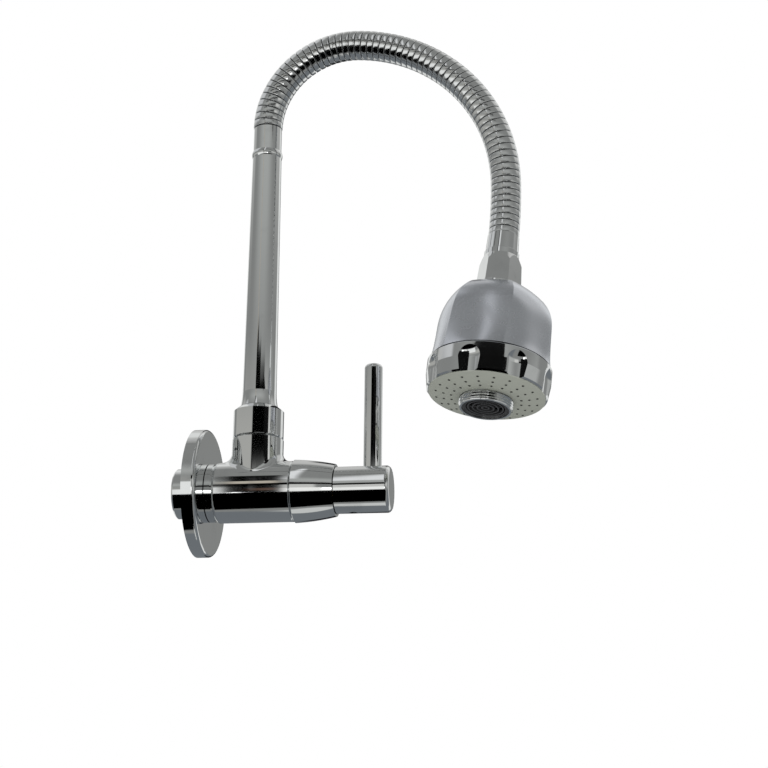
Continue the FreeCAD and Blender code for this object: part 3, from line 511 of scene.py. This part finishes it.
class FaucetHoseSettings(bpy.types.PropertyGroup):
    """Sizes and colours of the ribbed hose."""

    radius: FloatProperty(
        name="Radius", description="Radius of the hose over its turns",
        default=8.1 * MM, unit="LENGTH")
    crown: FloatProperty(
        name="Crown", description="How far each turn is rounded from middle to edge",
        default=0.17 * MM, unit="LENGTH")
    slit_depth: FloatProperty(
        name="Slit depth", description="Depth of the slit between two turns",
        default=0.95 * MM, unit="LENGTH")
    slit_floor: FloatProperty(
        name="Slit floor", description="Width of the slit's floor, as a share of a turn",
        default=0.075, subtype="FACTOR")
    slit_mouth: FloatProperty(
        name="Slit mouth", description="Width of the slit's mouth, as a share of a turn",
        default=0.14, subtype="FACTOR")
    strip_wall: FloatProperty(
        name="Strip wall", description="Thickness of the wound strip",
        default=0.6 * MM, unit="LENGTH")
    sides: IntProperty(name="Sides", description="Faces around the hose", default=64)
    strip_rough: FloatProperty(
        name="Strip roughness", description="Roughness of the chromed strip",
        default=0.1, subtype="FACTOR")
    strip_tint: FloatVectorProperty(
        name="Strip colour", description="Colour of the chromed strip",
        default=(0.78, 0.79, 0.79), subtype="COLOR")
    # Painted shade: near-black colour of the slits, standing in for the shade between the turns
    slit_shade_tint: FloatVectorProperty(
        name="Slit colour", description="Colour of the grime in the slits",
        default=(0.02, 0.02, 0.022), subtype="COLOR")
    water_radius: FloatProperty(
        name="Water hose radius", description="Radius of the inner rubber hose",
        default=4.5 * MM, unit="LENGTH")
    water_wall: FloatProperty(
        name="Water hose wall", description="Wall of the inner rubber hose",
        default=1.3 * MM, unit="LENGTH")


class FaucetJetSettings(bpy.types.PropertyGroup):
    """Sizes of the nozzles in the spray face."""

    rim: FloatProperty(
        name="Rim", description="Radius of a nozzle's rim on the face",
        default=0.72 * MM, unit="LENGTH")
    mouth: FloatProperty(
        name="Mouth", description="Radius of a nozzle's flat front",
        default=0.58 * MM, unit="LENGTH")
    rim_height: FloatProperty(
        name="Rim height", description="Height of a nozzle's rim",
        default=0.22 * MM, unit="LENGTH")
    rim_sink: FloatProperty(
        name="Rim sink", description="How far a rim's foot lies in the face",
        default=0.06 * MM, unit="LENGTH")
    stem: FloatProperty(
        name="Stem", description="Radius of a nozzle's stem in its hole",
        default=0.46 * MM, unit="LENGTH")
    depth: FloatProperty(
        name="Depth", description="Length of a nozzle's stem",
        default=1.0 * MM, unit="LENGTH")
    sides: IntProperty(name="Sides", description="Faces around a nozzle", default=10)


class FaucetFinishSettings(bpy.types.PropertyGroup):
    """Colours and gloss of the finishes."""

    chrome_tint: FloatVectorProperty(
        name="Chrome colour", description="Colour of the polished chrome",
        default=(0.8, 0.81, 0.81), subtype="COLOR")
    chrome_rough: FloatProperty(
        name="Chrome roughness", description="Roughness of clean polished chrome",
        default=0.045, subtype="FACTOR")
    chrome_wave: FloatProperty(
        name="Chrome waviness", description="Depth of the waves left by polishing",
        default=0.04 * MM, unit="LENGTH")
    satin_tint: FloatVectorProperty(
        name="Satin colour", description="Colour of the satin bell",
        default=(0.72, 0.74, 0.79), subtype="COLOR")
    satin_rough: FloatProperty(
        name="Satin roughness", description="Roughness of the satin bell",
        default=0.24, subtype="FACTOR")
    face_tint: FloatVectorProperty(
        name="Face colour", description="Colour of the spray face",
        default=(0.43, 0.45, 0.39), subtype="COLOR")
    insert_tint: FloatVectorProperty(
        name="Flow former colour", description="Colour of the outlet's insert",
        default=(0.05, 0.05, 0.052), subtype="COLOR")


class FaucetStageSettings(bpy.types.PropertyGroup):
    """Light and surroundings."""

    level: FloatProperty(
        name="World level", description="Strength of the even light", default=0.75)
    surround: FloatProperty(
        name="Surround", description="Brightness of the room that the metal mirrors",
        default=1.0)
    floor_drop: FloatProperty(
        name="Floor drop", description="Floor's distance below the inlet",
        default=0.55, unit="LENGTH")


def camera_frame():
    """Right, up and forward directions of the camera, and its place."""
    turn = math.radians(VIEW_TURN)
    rise = math.radians(VIEW_RISE)
    roll = math.radians(VIEW_ROLL)
    level_right = Vector((math.cos(turn), math.sin(turn), 0))
    level_ahead = Vector((-math.sin(turn), math.cos(turn), 0))
    ahead = math.cos(rise) * level_ahead + math.sin(rise) * Vector((0, 0, 1))
    level_up = level_right.cross(ahead)
    right = math.cos(roll) * level_right + math.sin(roll) * level_up
    up = math.cos(roll) * level_up - math.sin(roll) * level_right
    half = IMAGE_SIZE / 2
    across = (TARGET_PIXEL[0] - half) / FOCAL_PIXELS
    above = (half - TARGET_PIXEL[1]) / FOCAL_PIXELS
    distance = FOCAL_PIXELS / VIEW_SCALE
    place = TARGET - distance * (ahead + across * right + above * up)
    return right, up, ahead, place


def soft_lamp(name, place, target, size, brightness):
    """Area lamp aimed at a point, its brightness as a mirror would show it."""
    lamp = bpy.data.lights.new(name, "AREA")
    lamp.shape = "RECTANGLE"
    lamp.size, lamp.size_y = size
    lamp.energy = brightness * math.pi * size[0] * size[1]
    obj = bpy.data.objects.new(name, lamp)
    bpy.context.scene.collection.objects.link(obj)
    obj.visible_glossy = False
    turn = (target - place).to_track_quat("-Z", "Y")
    obj.matrix_world = Matrix.Translation(place) @ turn.to_matrix().to_4x4()


def flat_card(name, corners, material):
    """Object of one face."""
    mesh = bpy.data.meshes.new(name)
    mesh.from_pydata(corners, [], [(0, 1, 2, 3)])
    mesh.materials.append(material)
    return link_mesh(name, mesh)


def only_mirrored(obj):
    """Make an object of the stage show in reflections only."""
    obj.visible_camera = False
    obj.visible_diffuse = False
    obj.visible_transmission = False
    obj.visible_shadow = False
    obj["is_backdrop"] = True


def between(value, low, high, softness):
    """1 from low to high, fading over the softness at each."""
    half = softness / 2
    return value.step(low - half, low + half) * (1.0 - value.step(high - half, high + half))


def room_colour(bench):
    """Colour of the mirrored room in each direction."""
    place = bench.place()
    split = bench.add("ShaderNodeSeparateXYZ", {}, {0: place})
    x, y, z = (split.out(axis) for axis in "XYZ")
    measure = {"operation": "LENGTH"}
    distance = bench.add("ShaderNodeVectorMath", measure, {0: place}, output="Value")
    degrees = math.degrees(1)
    turn = degrees * x.math("ARCTAN2", x, -1.0 * y)
    rise = degrees * x.math("ARCSINE", z / distance)
    behind = y.step(-0.01, 0.01)
    side = degrees * x.math("ARCSINE", x / distance) + 360.0 * behind
    measures = {"turn": turn, "spread": abs(turn), "side": side}
    colour = rgba(ROOM_GREY)
    for name, low, high, softness, bottom, top, fade, tint in PANELS:
        mask = between(measures[name], low, high, softness) * between(rise, bottom, top, fade)
        colour = bench.mix(mask, colour, rgba(tint))
    return colour


class FAUCET_OT_stage(bpy.types.Operator):
    """Camera, world, lamps, floor and the cards that the metal mirrors"""

    bl_idname = "faucet.stage"
    bl_label = "Stage"

    def execute(self, context):
        settings = context.scene.faucet_stage
        right, up, ahead, place = camera_frame()
        lens = bpy.data.cameras.new("camera")
        lens.sensor_width = SENSOR
        lens.lens = FOCAL_PIXELS / IMAGE_SIZE * SENSOR
        lens.clip_start = CLIP_START
        camera = bpy.data.objects.new("camera", lens)
        context.scene.collection.objects.link(camera)
        axes = Matrix((right, up, -ahead)).transposed().to_4x4()
        camera.matrix_world = Matrix.Translation(place) @ axes
        context.scene.camera = camera
        context.scene.view_settings.view_transform = "Standard"
        self.world(context, settings)
        self.floor(settings)
        self.surround(settings)
        self.near_cards()
        self.lamps(right, ahead)
        return {"FINISHED"}

    def world(self, context, settings):
        """Even light, and plain white where the camera or a mirror looks."""
        world = bpy.data.worlds.new("world")
        world.use_nodes = True
        world.node_tree.nodes.clear()
        bench = Bench(world.node_tree)
        path = bench.add("ShaderNodeLightPath", output="Is Camera Ray")
        seen = path.math("MAXIMUM", path, path.out("Is Glossy Ray"))
        seen = seen.math("MAXIMUM", seen, path.out("Is Transmission Ray"))
        strength = settings.level + (1.0 - settings.level) * seen
        inputs = {"Color": (1, 1, 1, 1), "Strength": strength}
        sky = bench.add("ShaderNodeBackground", {}, inputs)
        bench.add("ShaderNodeOutputWorld", {}, {"Surface": sky})
        context.scene.world = world

    def floor(self, settings):
        """Pale floor, which the metal doesn't mirror."""
        material, bench = new_material("pale_floor")
        bench.surface({"Base Color": (0.86, 0.86, 0.86, 1), "Roughness": 0.9})
        ways = ((-1, -1), (1, -1), (1, 1), (-1, 1))
        corners = [(x * FLOOR_HALF, y * FLOOR_HALF, -settings.floor_drop) for x, y in ways]
        floor = flat_card("floor", corners, material)
        floor.visible_glossy = False
        floor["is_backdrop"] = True

    def surround(self, settings):
        """Ball round the object, with the mirrored room on it."""
        material, bench = new_material("mirrored_room")
        inputs = {"Color": room_colour(bench), "Strength": settings.surround}
        glow = bench.add("ShaderNodeEmission", {}, inputs)
        bench.add("ShaderNodeOutputMaterial", {}, {"Surface": glow})
        mesh = bpy.data.meshes.new("surround")
        shape = bmesh.new()
        bmesh.ops.create_icosphere(shape, subdivisions=4, radius=ROOM_RADIUS)
        shape.to_mesh(mesh)
        shape.free()
        mesh.materials.append(material)
        only_mirrored(link_mesh("surround", mesh))

    def near_cards(self):
        """Dark cards that darken the grip ring and the hose's top."""
        material, bench = new_material("dark_card")
        bench.surface({"Base Color": (0, 0, 0, 1), "Roughness": 1.0})
        for number, (left, right, bottom, top) in enumerate(NEAR_CARDS):
            places = ((left, bottom), (right, bottom), (right, top), (left, top))
            corners = [(x, CARD_FRONT, z) for x, z in places]
            only_mirrored(flat_card("dark_card_%d" % number, corners, material))

    def lamps(self, right, ahead):
        """Soft lamps in front, placed by the camera's level directions."""
        level_right = Vector((right.x, right.y, 0)).normalized()
        level_ahead = Vector((ahead.x, ahead.y, 0)).normalized()
        for name, ((across, away, up), size, brightness) in LAMPS.items():
            step = across * level_right + away * level_ahead + Vector((0, 0, up))
            soft_lamp(name, LIT_POINT + step, LIT_POINT, size, brightness)


# Bare metals: colour, roughness, depth of their waves, and smudging
BARE_METALS = {
    "turned_brass": ((0.72, 0.5, 0.22), 0.26, 0.03 * MM, 0.12),
    "spring_steel": ((0.5, 0.5, 0.51), 0.24, 0.02 * MM, 0.1),
}
# Plastic, rubber and ceramic: colour, roughness, depth of their grain, and marks
MOULDINGS = {
    "core_plastic": ((0.7, 0.7, 0.69), 0.42, 0.008 * MM, 0.25),
    "moulded_rubber": ((0.03, 0.03, 0.032), 0.5, 0.01 * MM, 0.25),
    # Nozzle rubber: near-black as rubber nozzles and as painted shade filling the holes of the
    # spray face
    "nozzle_rubber_and_pit_shade": ((0.035, 0.035, 0.03), 0.6, 0.01 * MM, 0.25),
    "ground_ceramic": ((0.82, 0.82, 0.8), 0.2, 0.002 * MM, 0.1),
}
CHROME_SMUDGE = 0.05


def finishes(context):
    """All the finishes by name, made once."""
    if "polished_chrome" not in bpy.data.materials:
        chosen = context.scene.faucet_finish
        tint, rough = chosen.chrome_tint, chosen.chrome_rough
        metal_finish("polished_chrome", tint, rough, chosen.chrome_wave, CHROME_SMUDGE)
        # Plated plastic is a little rougher and wavier than plated brass
        metal_finish("bright_plate", tint, rough + 0.02, 0.06 * MM, CHROME_SMUDGE)
        strip_finish(context.scene.faucet_hose)
        satin_finish(chosen)
        plastic_finish("face_plastic", chosen.face_tint, 0.34, 0.004 * MM, 0.2)
        plastic_finish("insert_plastic", chosen.insert_tint, 0.4, 0.006 * MM, 0.25)
        for name, values in BARE_METALS.items():
            metal_finish(name, *values)
        for name, values in MOULDINGS.items():
            plastic_finish(name, *values)
    return bpy.data.materials


def dress(nodes, material):
    """Give CAD nodes a finish on their own material slots."""
    for name in nodes:
        node = frame["nodes"][name]
        if not node.material_slots:
            node.data.materials.append(material)
        for holder in node.material_slots:
            holder.material = material


class FAUCET_OT_valve(bpy.types.Operator):
    """Flange, body, sleeve, hub, pin, nut, riser and what is inside them"""

    bl_idname = "faucet.valve"
    bl_label = "Valve and riser"

    def execute(self, context):
        made = finishes(context)
        dress(("wall_flange", "valve_body", "bonnet_sleeve", "lever_hub", "lever_pin", "spout_nut",
               "riser_pipe", "upper_ferrule"), made["polished_chrome"])
        dress(("cartridge_housing", "cartridge_spindle", "upper_hose_tail"), made["turned_brass"])
        dress(("spindle_clip", "hub_grub_screw"), made["spring_steel"])
        dress(("fixed_ceramic_disc", "moving_ceramic_disc"), made["ground_ceramic"])
        dress(("cartridge_seat_seal", "spindle_rings", "spout_rings"), made["moulded_rubber"])
        dress(("spout_slip_ring",), made["core_plastic"])
        return {"FINISHED"}


class FAUCET_OT_head(bpy.types.Operator):
    """Ferrule, grip ring, spray face, outlet insert and what is inside"""

    bl_idname = "faucet.head"
    bl_label = "Spray head"

    def execute(self, context):
        made = finishes(context)
        dress(("lower_ferrule",), made["polished_chrome"])
        dress(("selector_ring",), made["bright_plate"])
        dress(("spray_face",), made["face_plastic"])
        dress(("aerator_housing", "aerator_screen"), made["insert_plastic"])
        dress(("head_core",), made["core_plastic"])
        dress(("neck_washer", "selector_seal"), made["moulded_rubber"])
        dress(("lower_hose_tail",), made["turned_brass"])
        return {"FINISHED"}


class FAUCET_OT_ribbed_hose(bpy.types.Operator):
    """Wound chromed strip of the flexible spout, and the rubber hose in it"""

    bl_idname = "faucet.ribbed_hose"
    bl_label = "Ribbed hose"

    def execute(self, context):
        made = finishes(context)
        settings = context.scene.faucet_hose
        tree = hose_tree()
        turns = {
            "Radius": settings.radius,
            "Pitch": RIB_PITCH,
            "Crown": settings.crown,
            "Slit depth": settings.slit_depth,
            "Slit floor": settings.slit_floor,
            "Slit mouth": settings.slit_mouth,
            "Sides": settings.sides,
            "Finish": made["hose_strip_chrome"],
        }
        for index, low, high, bodies in hose_runs(0.0, ARCH_LENGTH):
            count = round((high - low) / RIB_PITCH)
            turn_starts = [low + RIB_PITCH * i for i in range(count)]
            rows = [start + RIB_PITCH * share for start in turn_starts for share in STATIONS]
            name = "wound_strip_%02d" % index
            piece = swept_piece(name, tree, rows + [high], turns, settings.strip_wall)
            carry(piece, bodies, low, high)
            near = [i for i in (index, index + 1) if 1 <= i <= HOSE_LENGTHS]
            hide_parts(*["hose_length_%02d" % i for i in near])
        plain = dict(turns, Radius=settings.water_radius, Crown=0.0, Finish=made["moulded_rubber"])
        plain.update({"Slit depth": 0.0, "Sides": settings.sides // 2})
        for index, low, high, bodies in hose_runs(WATER_START, WATER_END):
            count = WATER_ROWS * max(round((high - low) / RIB_PITCH), 2)
            rows = [low + (high - low) * i / count for i in range(count + 1)]
            name = "water_tube_%02d" % index
            piece = swept_piece(name, tree, rows, plain, settings.water_wall)
            carry(piece, bodies, low, high)
            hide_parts("water_hose")
        return {"FINISHED"}


# Jets in the spray face: radius of each row, and how many stand in a row. The
# face is met beside the hole of each, in radians, from a point over it.
JET_ROWS = (18 * MM, 22 * MM, 26 * MM)
JETS_PER_ROW = 20
BESIDE_JET = 0.1
OVER_FACE = 20 * MM


def jet_tree():
    """Geometry nodes that set one small nozzle at each point that is given: a
    chamfered rim on the face, and a stem in the hole behind it."""
    bench, entry = node_group("jet_rows", {
        "Float": ("Rim", "Mouth", "Rim height", "Stem", "Depth"),
        "Int": ("Sides",),
        "Rotation": ("Turn",),
        "Material": ("Finish",),
    })

    def cone(top, bottom, depth):
        return bench.add("GeometryNodeMeshCone", {"fill_type": "NGON"}, {
            "Vertices": entry.out("Sides"),
            "Radius Top": entry.out(top),
            "Radius Bottom": entry.out(bottom),
            "Depth": entry.out(depth),
        })

    rim = cone("Mouth", "Rim", "Rim height")
    stem = cone("Stem", "Stem", "Depth")
    down = bench.add("ShaderNodeCombineXYZ", {}, {"Z": -1.0 * entry.out("Depth")})
    sunk = bench.add("GeometryNodeTransform", {}, {"Geometry": stem, "Translation": down})
    nozzle = bench.add("GeometryNodeJoinGeometry", {}, {"Geometry": rim})
    bench.tree.links.new(sunk.socket, nozzle.socket.node.inputs["Geometry"])
    inputs = {"Points": entry, "Instance": nozzle, "Rotation": entry.out("Turn")}
    jets = bench.add("GeometryNodeInstanceOnPoints", {}, inputs)
    return end_group(bench, jets, entry.out("Finish"))


class FAUCET_OT_jets(bpy.types.Operator):
    """Dark rubber nozzles in the holes of the spray face, their near-black also painted shade in
    the holes
    """

    bl_idname = "faucet.jets"
    bl_label = "Spray jets"

    def execute(self, context):
        made = finishes(context)
        settings = context.scene.faucet_jets
        mesh = bpy.data.meshes.new("spray_jets")
        mesh.from_pydata(list(self.seats(settings.rim_sink)), [], [])
        piece = link_mesh("spray_jets", mesh)
        rows = piece.modifiers.new("jets", "NODES")
        rows.node_group = jet_tree()
        set_inputs(rows, {
            "Rim": settings.rim,
            "Mouth": settings.mouth,
            "Rim height": settings.rim_height,
            "Stem": settings.stem,
            "Depth": settings.depth,
            "Sides": settings.sides,
            "Turn": HEAD_AXIS.to_track_quat("Z", "Y").to_euler(),
            # Near-black rubber, which also paints the shade in the holes
            "Finish": made["nozzle_rubber_and_pit_shade"],
        })
        settled(piece)
        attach(piece, "selector")
        return {"FINISHED"}

    def seats(self, sink):
        """Points where the nozzles stand, sunk a little in the face."""
        face = frame["nodes"]["spray_face"]
        for row in JET_ROWS:
            for i in range(JETS_PER_ROW):
                angle = 2 * math.pi * i / JETS_PER_ROW
                above = on_head(HEAD_LENGTH + OVER_FACE, angle + BESIDE_JET, row)
                hit, place, _, _ = face.ray_cast(above, -HEAD_AXIS)
                if not hit:
                    raise RuntimeError("the spray face has no surface at a row of jets")
                yield on_head((place - HEAD_AT).dot(HEAD_AXIS) - sink, angle, row)


def rings_of_faces(shape, rings):
    """Faces between closed rings of points, the last ring joined to the
    first. Gives the rings of vertices."""
    grid = [[shape.verts.new(point) for point in ring] for ring in rings]
    for here, there in zip(grid, grid[1:] + grid[:1]):
        for j in range(len(here)):
            k = (j + 1) % len(here)
            shape.faces.new((here[j], here[k], there[k], there[j]))
    return grid


def shaded(name, shape, material, edge=40.0, creases=()):
    """Object of a closed shape, smooth but for its creases and for edges that
    turn by more than the degrees given."""
    bmesh.ops.recalc_face_normals(shape, faces=shape.faces)
    for face in shape.faces:
        face.smooth = True
    for line in shape.edges:
        line.smooth = line.calc_face_angle() < math.radians(edge)
    for line in creases:
        line.smooth = False
    mesh = bpy.data.meshes.new(name)
    shape.to_mesh(mesh)
    shape.free()
    mesh.materials.append(material)
    return link_mesh(name, mesh)


# Bell, in millimetres and degrees: distance from its top, radius over its
# creases and flatness of its sides, from the hole for the nut to the seam
BELL_ROWS = (
    (6.0, 13.2, 0.07), (8.2, 18.8, 0.075), (11.0, 22.8, 0.078),
    (15.0, 26.3, 0.078), (20.0, 28.9, 0.076), (26.0, 30.3, 0.07),
    (36.0, 30.9, 0.06), (45.0, 31.15, 0.036), (49.5, 31.25, 0.006),
)
BELL_AT = 25.6         # its top, from the end of the hose
BELL_SIDES = 6
BELL_PHASE = 28.0      # where its first crease starts
BELL_TWIST = 10.0      # how far the creases wind on the way down
BELL_WALL = 2.2
BELL_HOLE = 9.8        # radius of the hole for the nut
ROWS_PER_STEP = 6      # rings of faces from one row to the next
FACES_PER_SIDE = 16


def side_reach(flatness, share):
    """Distance from the axis of a side that is flatter than its circle, as a
    share of the corner's."""
    half = math.pi / BELL_SIDES
    rise = 1 - flatness - math.cos(half)
    bend = (math.sin(half) ** 2 + rise ** 2) / (2 * rise)
    middle = 1 - flatness - bend
    angle = (2 * share - 1) * half
    return middle * math.cos(angle) + math.sqrt(bend ** 2 - (middle * math.sin(angle)) ** 2)


def smooth_rows(rows, steps):
    """Rows on a smooth curve through the given rows, with its direction."""
    last = len(rows) - 1
    for i in range(last * steps + 1):
        k = min(i // steps, last - 1)
        t = i / steps - k
        near = [Vector(rows[min(max(n, 0), last)]) for n in range(k - 1, k + 3)]
        before, here, there, after = near
        pull, push = (there - before) / 2, (after - here) / 2
        curve = 2 * here - 2 * there + pull + push
        sag = 3 * there - 3 * here - 2 * pull - push
        yield ((curve * t + sag) * t + pull) * t + here, (3 * curve * t + 2 * sag) * t + pull


def bell_ring(at, radius, flatness):
    """Points of one ring of the bell, in metres from millimetres."""
    count = BELL_SIDES * FACES_PER_SIDE
    phase = BELL_PHASE + BELL_TWIST * at / BELL_ROWS[-1][0]
    for j in range(count):
        reach = radius * side_reach(flatness, j % FACES_PER_SIDE / FACES_PER_SIDE)
        yield on_head((BELL_AT + at) * MM, math.radians(phase + 360 * j / count), reach * MM)


# Neck nut, in millimetres along the head from the end of the hose and from its
# axis: the body, the collar over it and the lip under it
NUT_BODY = (
    (12.8, 7.1), (12.8, 9.3), (19.0, 11.9), (30.3, 11.9),
    (30.3, 9.75), (27.6, 9.75), (27.6, 7.1),
)
NUT_COLLAR = ((9.6, 7.1), (9.6, 8.9), (9.9, 9.15), (12.9, 9.2), (12.9, 7.1))
NUT_LIP = ((30.2, 9.8), (30.3, 12.3), (30.5, 12.5), (31.35, 12.5), (31.55, 12.3), (31.55, 9.8))
# Ends of the tapered hexagon that cuts its flats: place, and distance to a flat
NUT_FLATS = ((12.3, 9.35), (30.8, 10.42))
NUT_SIDES = 6
NUT_PHASE = 25.0
NUT_EDGE = 15.0
TURNED_SIDES = 96


def turned(shape, outline):
    """Add a ring, turned about the head's axis, to a shape."""
    angles = [2 * math.pi * j / TURNED_SIDES for j in range(TURNED_SIDES)]
    rings_of_faces(shape, [[on_head(along * MM, angle, radius * MM) for angle in angles]
                           for along, radius in outline])
    return shape


def tapered_hexagon():
    """Solid with the flats of the neck nut."""
    shape = bmesh.new()
    corner = 1 / math.cos(math.pi / NUT_SIDES)
    angles = [math.radians(NUT_PHASE + 360 / NUT_SIDES * j) for j in range(NUT_SIDES)]
    first, last = [
        [shape.verts.new(on_head(along * MM, angle, flat * corner * MM)) for angle in angles]
        for along, flat in NUT_FLATS
    ]
    shape.faces.new(first[::-1])
    shape.faces.new(last)
    for j in range(NUT_SIDES):
        k = (j + 1) % NUT_SIDES
        shape.faces.new((first[j], first[k], last[k], last[j]))
    return shape


class FAUCET_OT_bell(bpy.types.Operator):
    """Bell of the head, with its soft creases, and the nut that carries it"""

    bl_idname = "faucet.bell"
    bl_label = "Bell and neck nut"

    def execute(self, context):
        made = finishes(context)
        bell = self.bell(made["satin_plate"])
        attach(bell, "head")
        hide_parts("head_shell")
        nut = self.nut(made["polished_chrome"])
        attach(nut, "head")
        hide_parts("neck_cone")
        return {"FINISHED"}

    def bell(self, material):
        """Shell with a wall, its creases sharp on the outside alone."""
        outer, inner = [], []
        for (at, radius, flatness), ahead in smooth_rows(BELL_ROWS, ROWS_PER_STEP):
            slope = math.atan2(ahead.y, ahead.x)
            down, inward = BELL_WALL * math.sin(slope), BELL_WALL * math.cos(slope)
            outer.append((at, radius, flatness))
            inner.append((at + down, radius - inward, flatness))
        inner[-1] = (outer[-1][0], inner[-1][1], 0.0)
        top, under = (outer[0][0], BELL_HOLE, 0.0), (inner[0][0], BELL_HOLE, 0.0)
        rows = [top] + outer + inner[::-1] + [under]
        shape = bmesh.new()
        grid = rings_of_faces(shape, [list(bell_ring(*row)) for row in rows])
        creases = []
        for here, there in zip(grid[1:len(outer)], grid[2:]):
            for j in range(0, len(here), FACES_PER_SIDE):
                creases.append(shape.edges.get((here[j], there[j])))
        return shaded("bell_shell", shape, material, creases=creases)

    def nut(self, material):
        """Turned body with rounded tops, cut by a tapered hexagon, with a
        collar over it and a lip under it."""
        nut = shaded("neck_nut", turned(bmesh.new(), NUT_BODY), material)
        cutter = shaded("nut_cutter", tapered_hexagon(), material)
        cut = nut.modifiers.new("flats", "BOOLEAN")
        cut.operation = "INTERSECT"
        cut.solver = "EXACT"
        cut.object = cutter
        settled(nut)
        bpy.data.objects.remove(cutter)
        whole = bmesh.new()
        whole.from_mesh(nut.data)
        bpy.data.objects.remove(nut)
        turned(whole, NUT_COLLAR)
        turned(whole, NUT_LIP)
        return shaded("neck_nut", whole, material, edge=NUT_EDGE)


# Outlet's thread, by distance from the face: its ends, its radius over the
# crest, its depth and pitch, and the shares of a pitch in which it fades
THREAD_START = 1.75 * MM
THREAD_END = 6.3 * MM
THREAD_CREST = 13.9 * MM
THREAD_DEPTH = 0.6 * MM
THREAD_PITCH = 1.5 * MM
THREAD_LEAD = 0.4
THREAD_RUNOUT = 0.7
THREAD_ROWS = 12       # rings of faces to a pitch
THREAD_SIDES = 96
THREAD_EDGE = 50.0
# The rest of the outlet's section, in millimetres from the face and from the
# axis: front edge, mouth, bore and shank
OUTLET_SECTION = (
    (6.8, 13.2), (6.8, 12.2), (-3.0, 12.2), (-3.0, 8.0),
    (-11.35, 8.0), (-11.35, 13.6), (1.74, 13.4),
)


def thread_reach(along, turn):
    """Radius of the thread at a distance from the face and a share of a turn."""
    lead = (along - THREAD_START) / (THREAD_LEAD * THREAD_PITCH)
    runout = (THREAD_END - along) / (THREAD_RUNOUT * THREAD_PITCH)
    fade = max(min(1.0, lead, runout), 0.0)
    ridge = 0.5 + 0.5 * math.cos(2 * math.pi * (along / THREAD_PITCH - turn))
    return THREAD_CREST - THREAD_DEPTH * (1.0 - fade * ridge)


def outlet_rings():
    """Rings of points up the thread and round the rest of the section."""
    side = HEAD_AXIS.orthogonal().normalized()
    other = HEAD_AXIS.cross(side)
    length = THREAD_END - THREAD_START
    count = round(length / THREAD_PITCH * THREAD_ROWS)
    section = [(THREAD_START + length * i / count, None) for i in range(count + 1)]
    section += [(along * MM, radius * MM) for along, radius in OUTLET_SECTION]
    for along, radius in section:
        ring = []
        for j in range(THREAD_SIDES):
            angle = 2 * math.pi * j / THREAD_SIDES
            out = side * math.cos(angle) + other * math.sin(angle)
            reach = radius or thread_reach(along, j / THREAD_SIDES)
            ring.append(FACE_AT + HEAD_AXIS * along + out * reach)
        yield ring


class FAUCET_OT_outlet_thread(bpy.types.Operator):
    """Outlet collar with its real thread"""

    bl_idname = "faucet.outlet_thread"
    bl_label = "Outlet thread"

    def execute(self, context):
        made = finishes(context)
        shape = bmesh.new()
        rings_of_faces(shape, outlet_rings())
        ring = shaded("threaded_outlet", shape, made["bright_plate"], edge=THREAD_EDGE)
        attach(ring, "selector")
        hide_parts("outlet_collar")
        return {"FINISHED"}


class FAUCET_PT_panel(bpy.types.Panel):
    """Lists the faucet's settings and steps"""

    bl_idname = "FAUCET_PT_panel"
    bl_label = "Faucet"
    bl_space_type = "VIEW_3D"
    bl_region_type = "UI"
    bl_category = "Faucet"

    def draw(self, context):
        layout = self.layout
        for step in STEPS:
            layout.operator(step.bl_idname)
        for place, _ in GROUPS:
            group = getattr(context.scene, place)
            box = layout.box()
            for name in group.__annotations__:
                box.prop(group, name)


GROUPS = (
    ("faucet_hose", FaucetHoseSettings),
    ("faucet_jets", FaucetJetSettings),
    ("faucet_finish", FaucetFinishSettings),
    ("faucet_stage", FaucetStageSettings),
)
STEPS = (
    FAUCET_OT_stage,
    FAUCET_OT_ribbed_hose,
    FAUCET_OT_valve,
    FAUCET_OT_head,
    FAUCET_OT_bell,
    FAUCET_OT_jets,
    FAUCET_OT_outlet_thread,
)


def register():
    for name, group in GROUPS:
        bpy.utils.register_class(group)
        setattr(bpy.types.Scene, name, PointerProperty(type=group))
    for step in STEPS:
        bpy.utils.register_class(step)
    bpy.utils.register_class(FAUCET_PT_panel)


def unregister():
    bpy.utils.unregister_class(FAUCET_PT_panel)
    for step in reversed(STEPS):
        bpy.utils.unregister_class(step)
    for name, group in reversed(GROUPS):
        delattr(bpy.types.Scene, name)
        bpy.utils.unregister_class(group)


def main():
    """Register the add-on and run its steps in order."""
    register()
    bpy.ops.faucet.stage()
    bpy.ops.faucet.ribbed_hose()
    bpy.ops.faucet.valve()
    bpy.ops.faucet.head()
    bpy.ops.faucet.bell()
    bpy.ops.faucet.jets()
    bpy.ops.faucet.outlet_thread()
    boxes = {"cad": CAD_BOX, "visual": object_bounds()}
    {key: [list(corner) for corner in box] for key, box in boxes.items()}


if __name__ == "__main__":
    main()
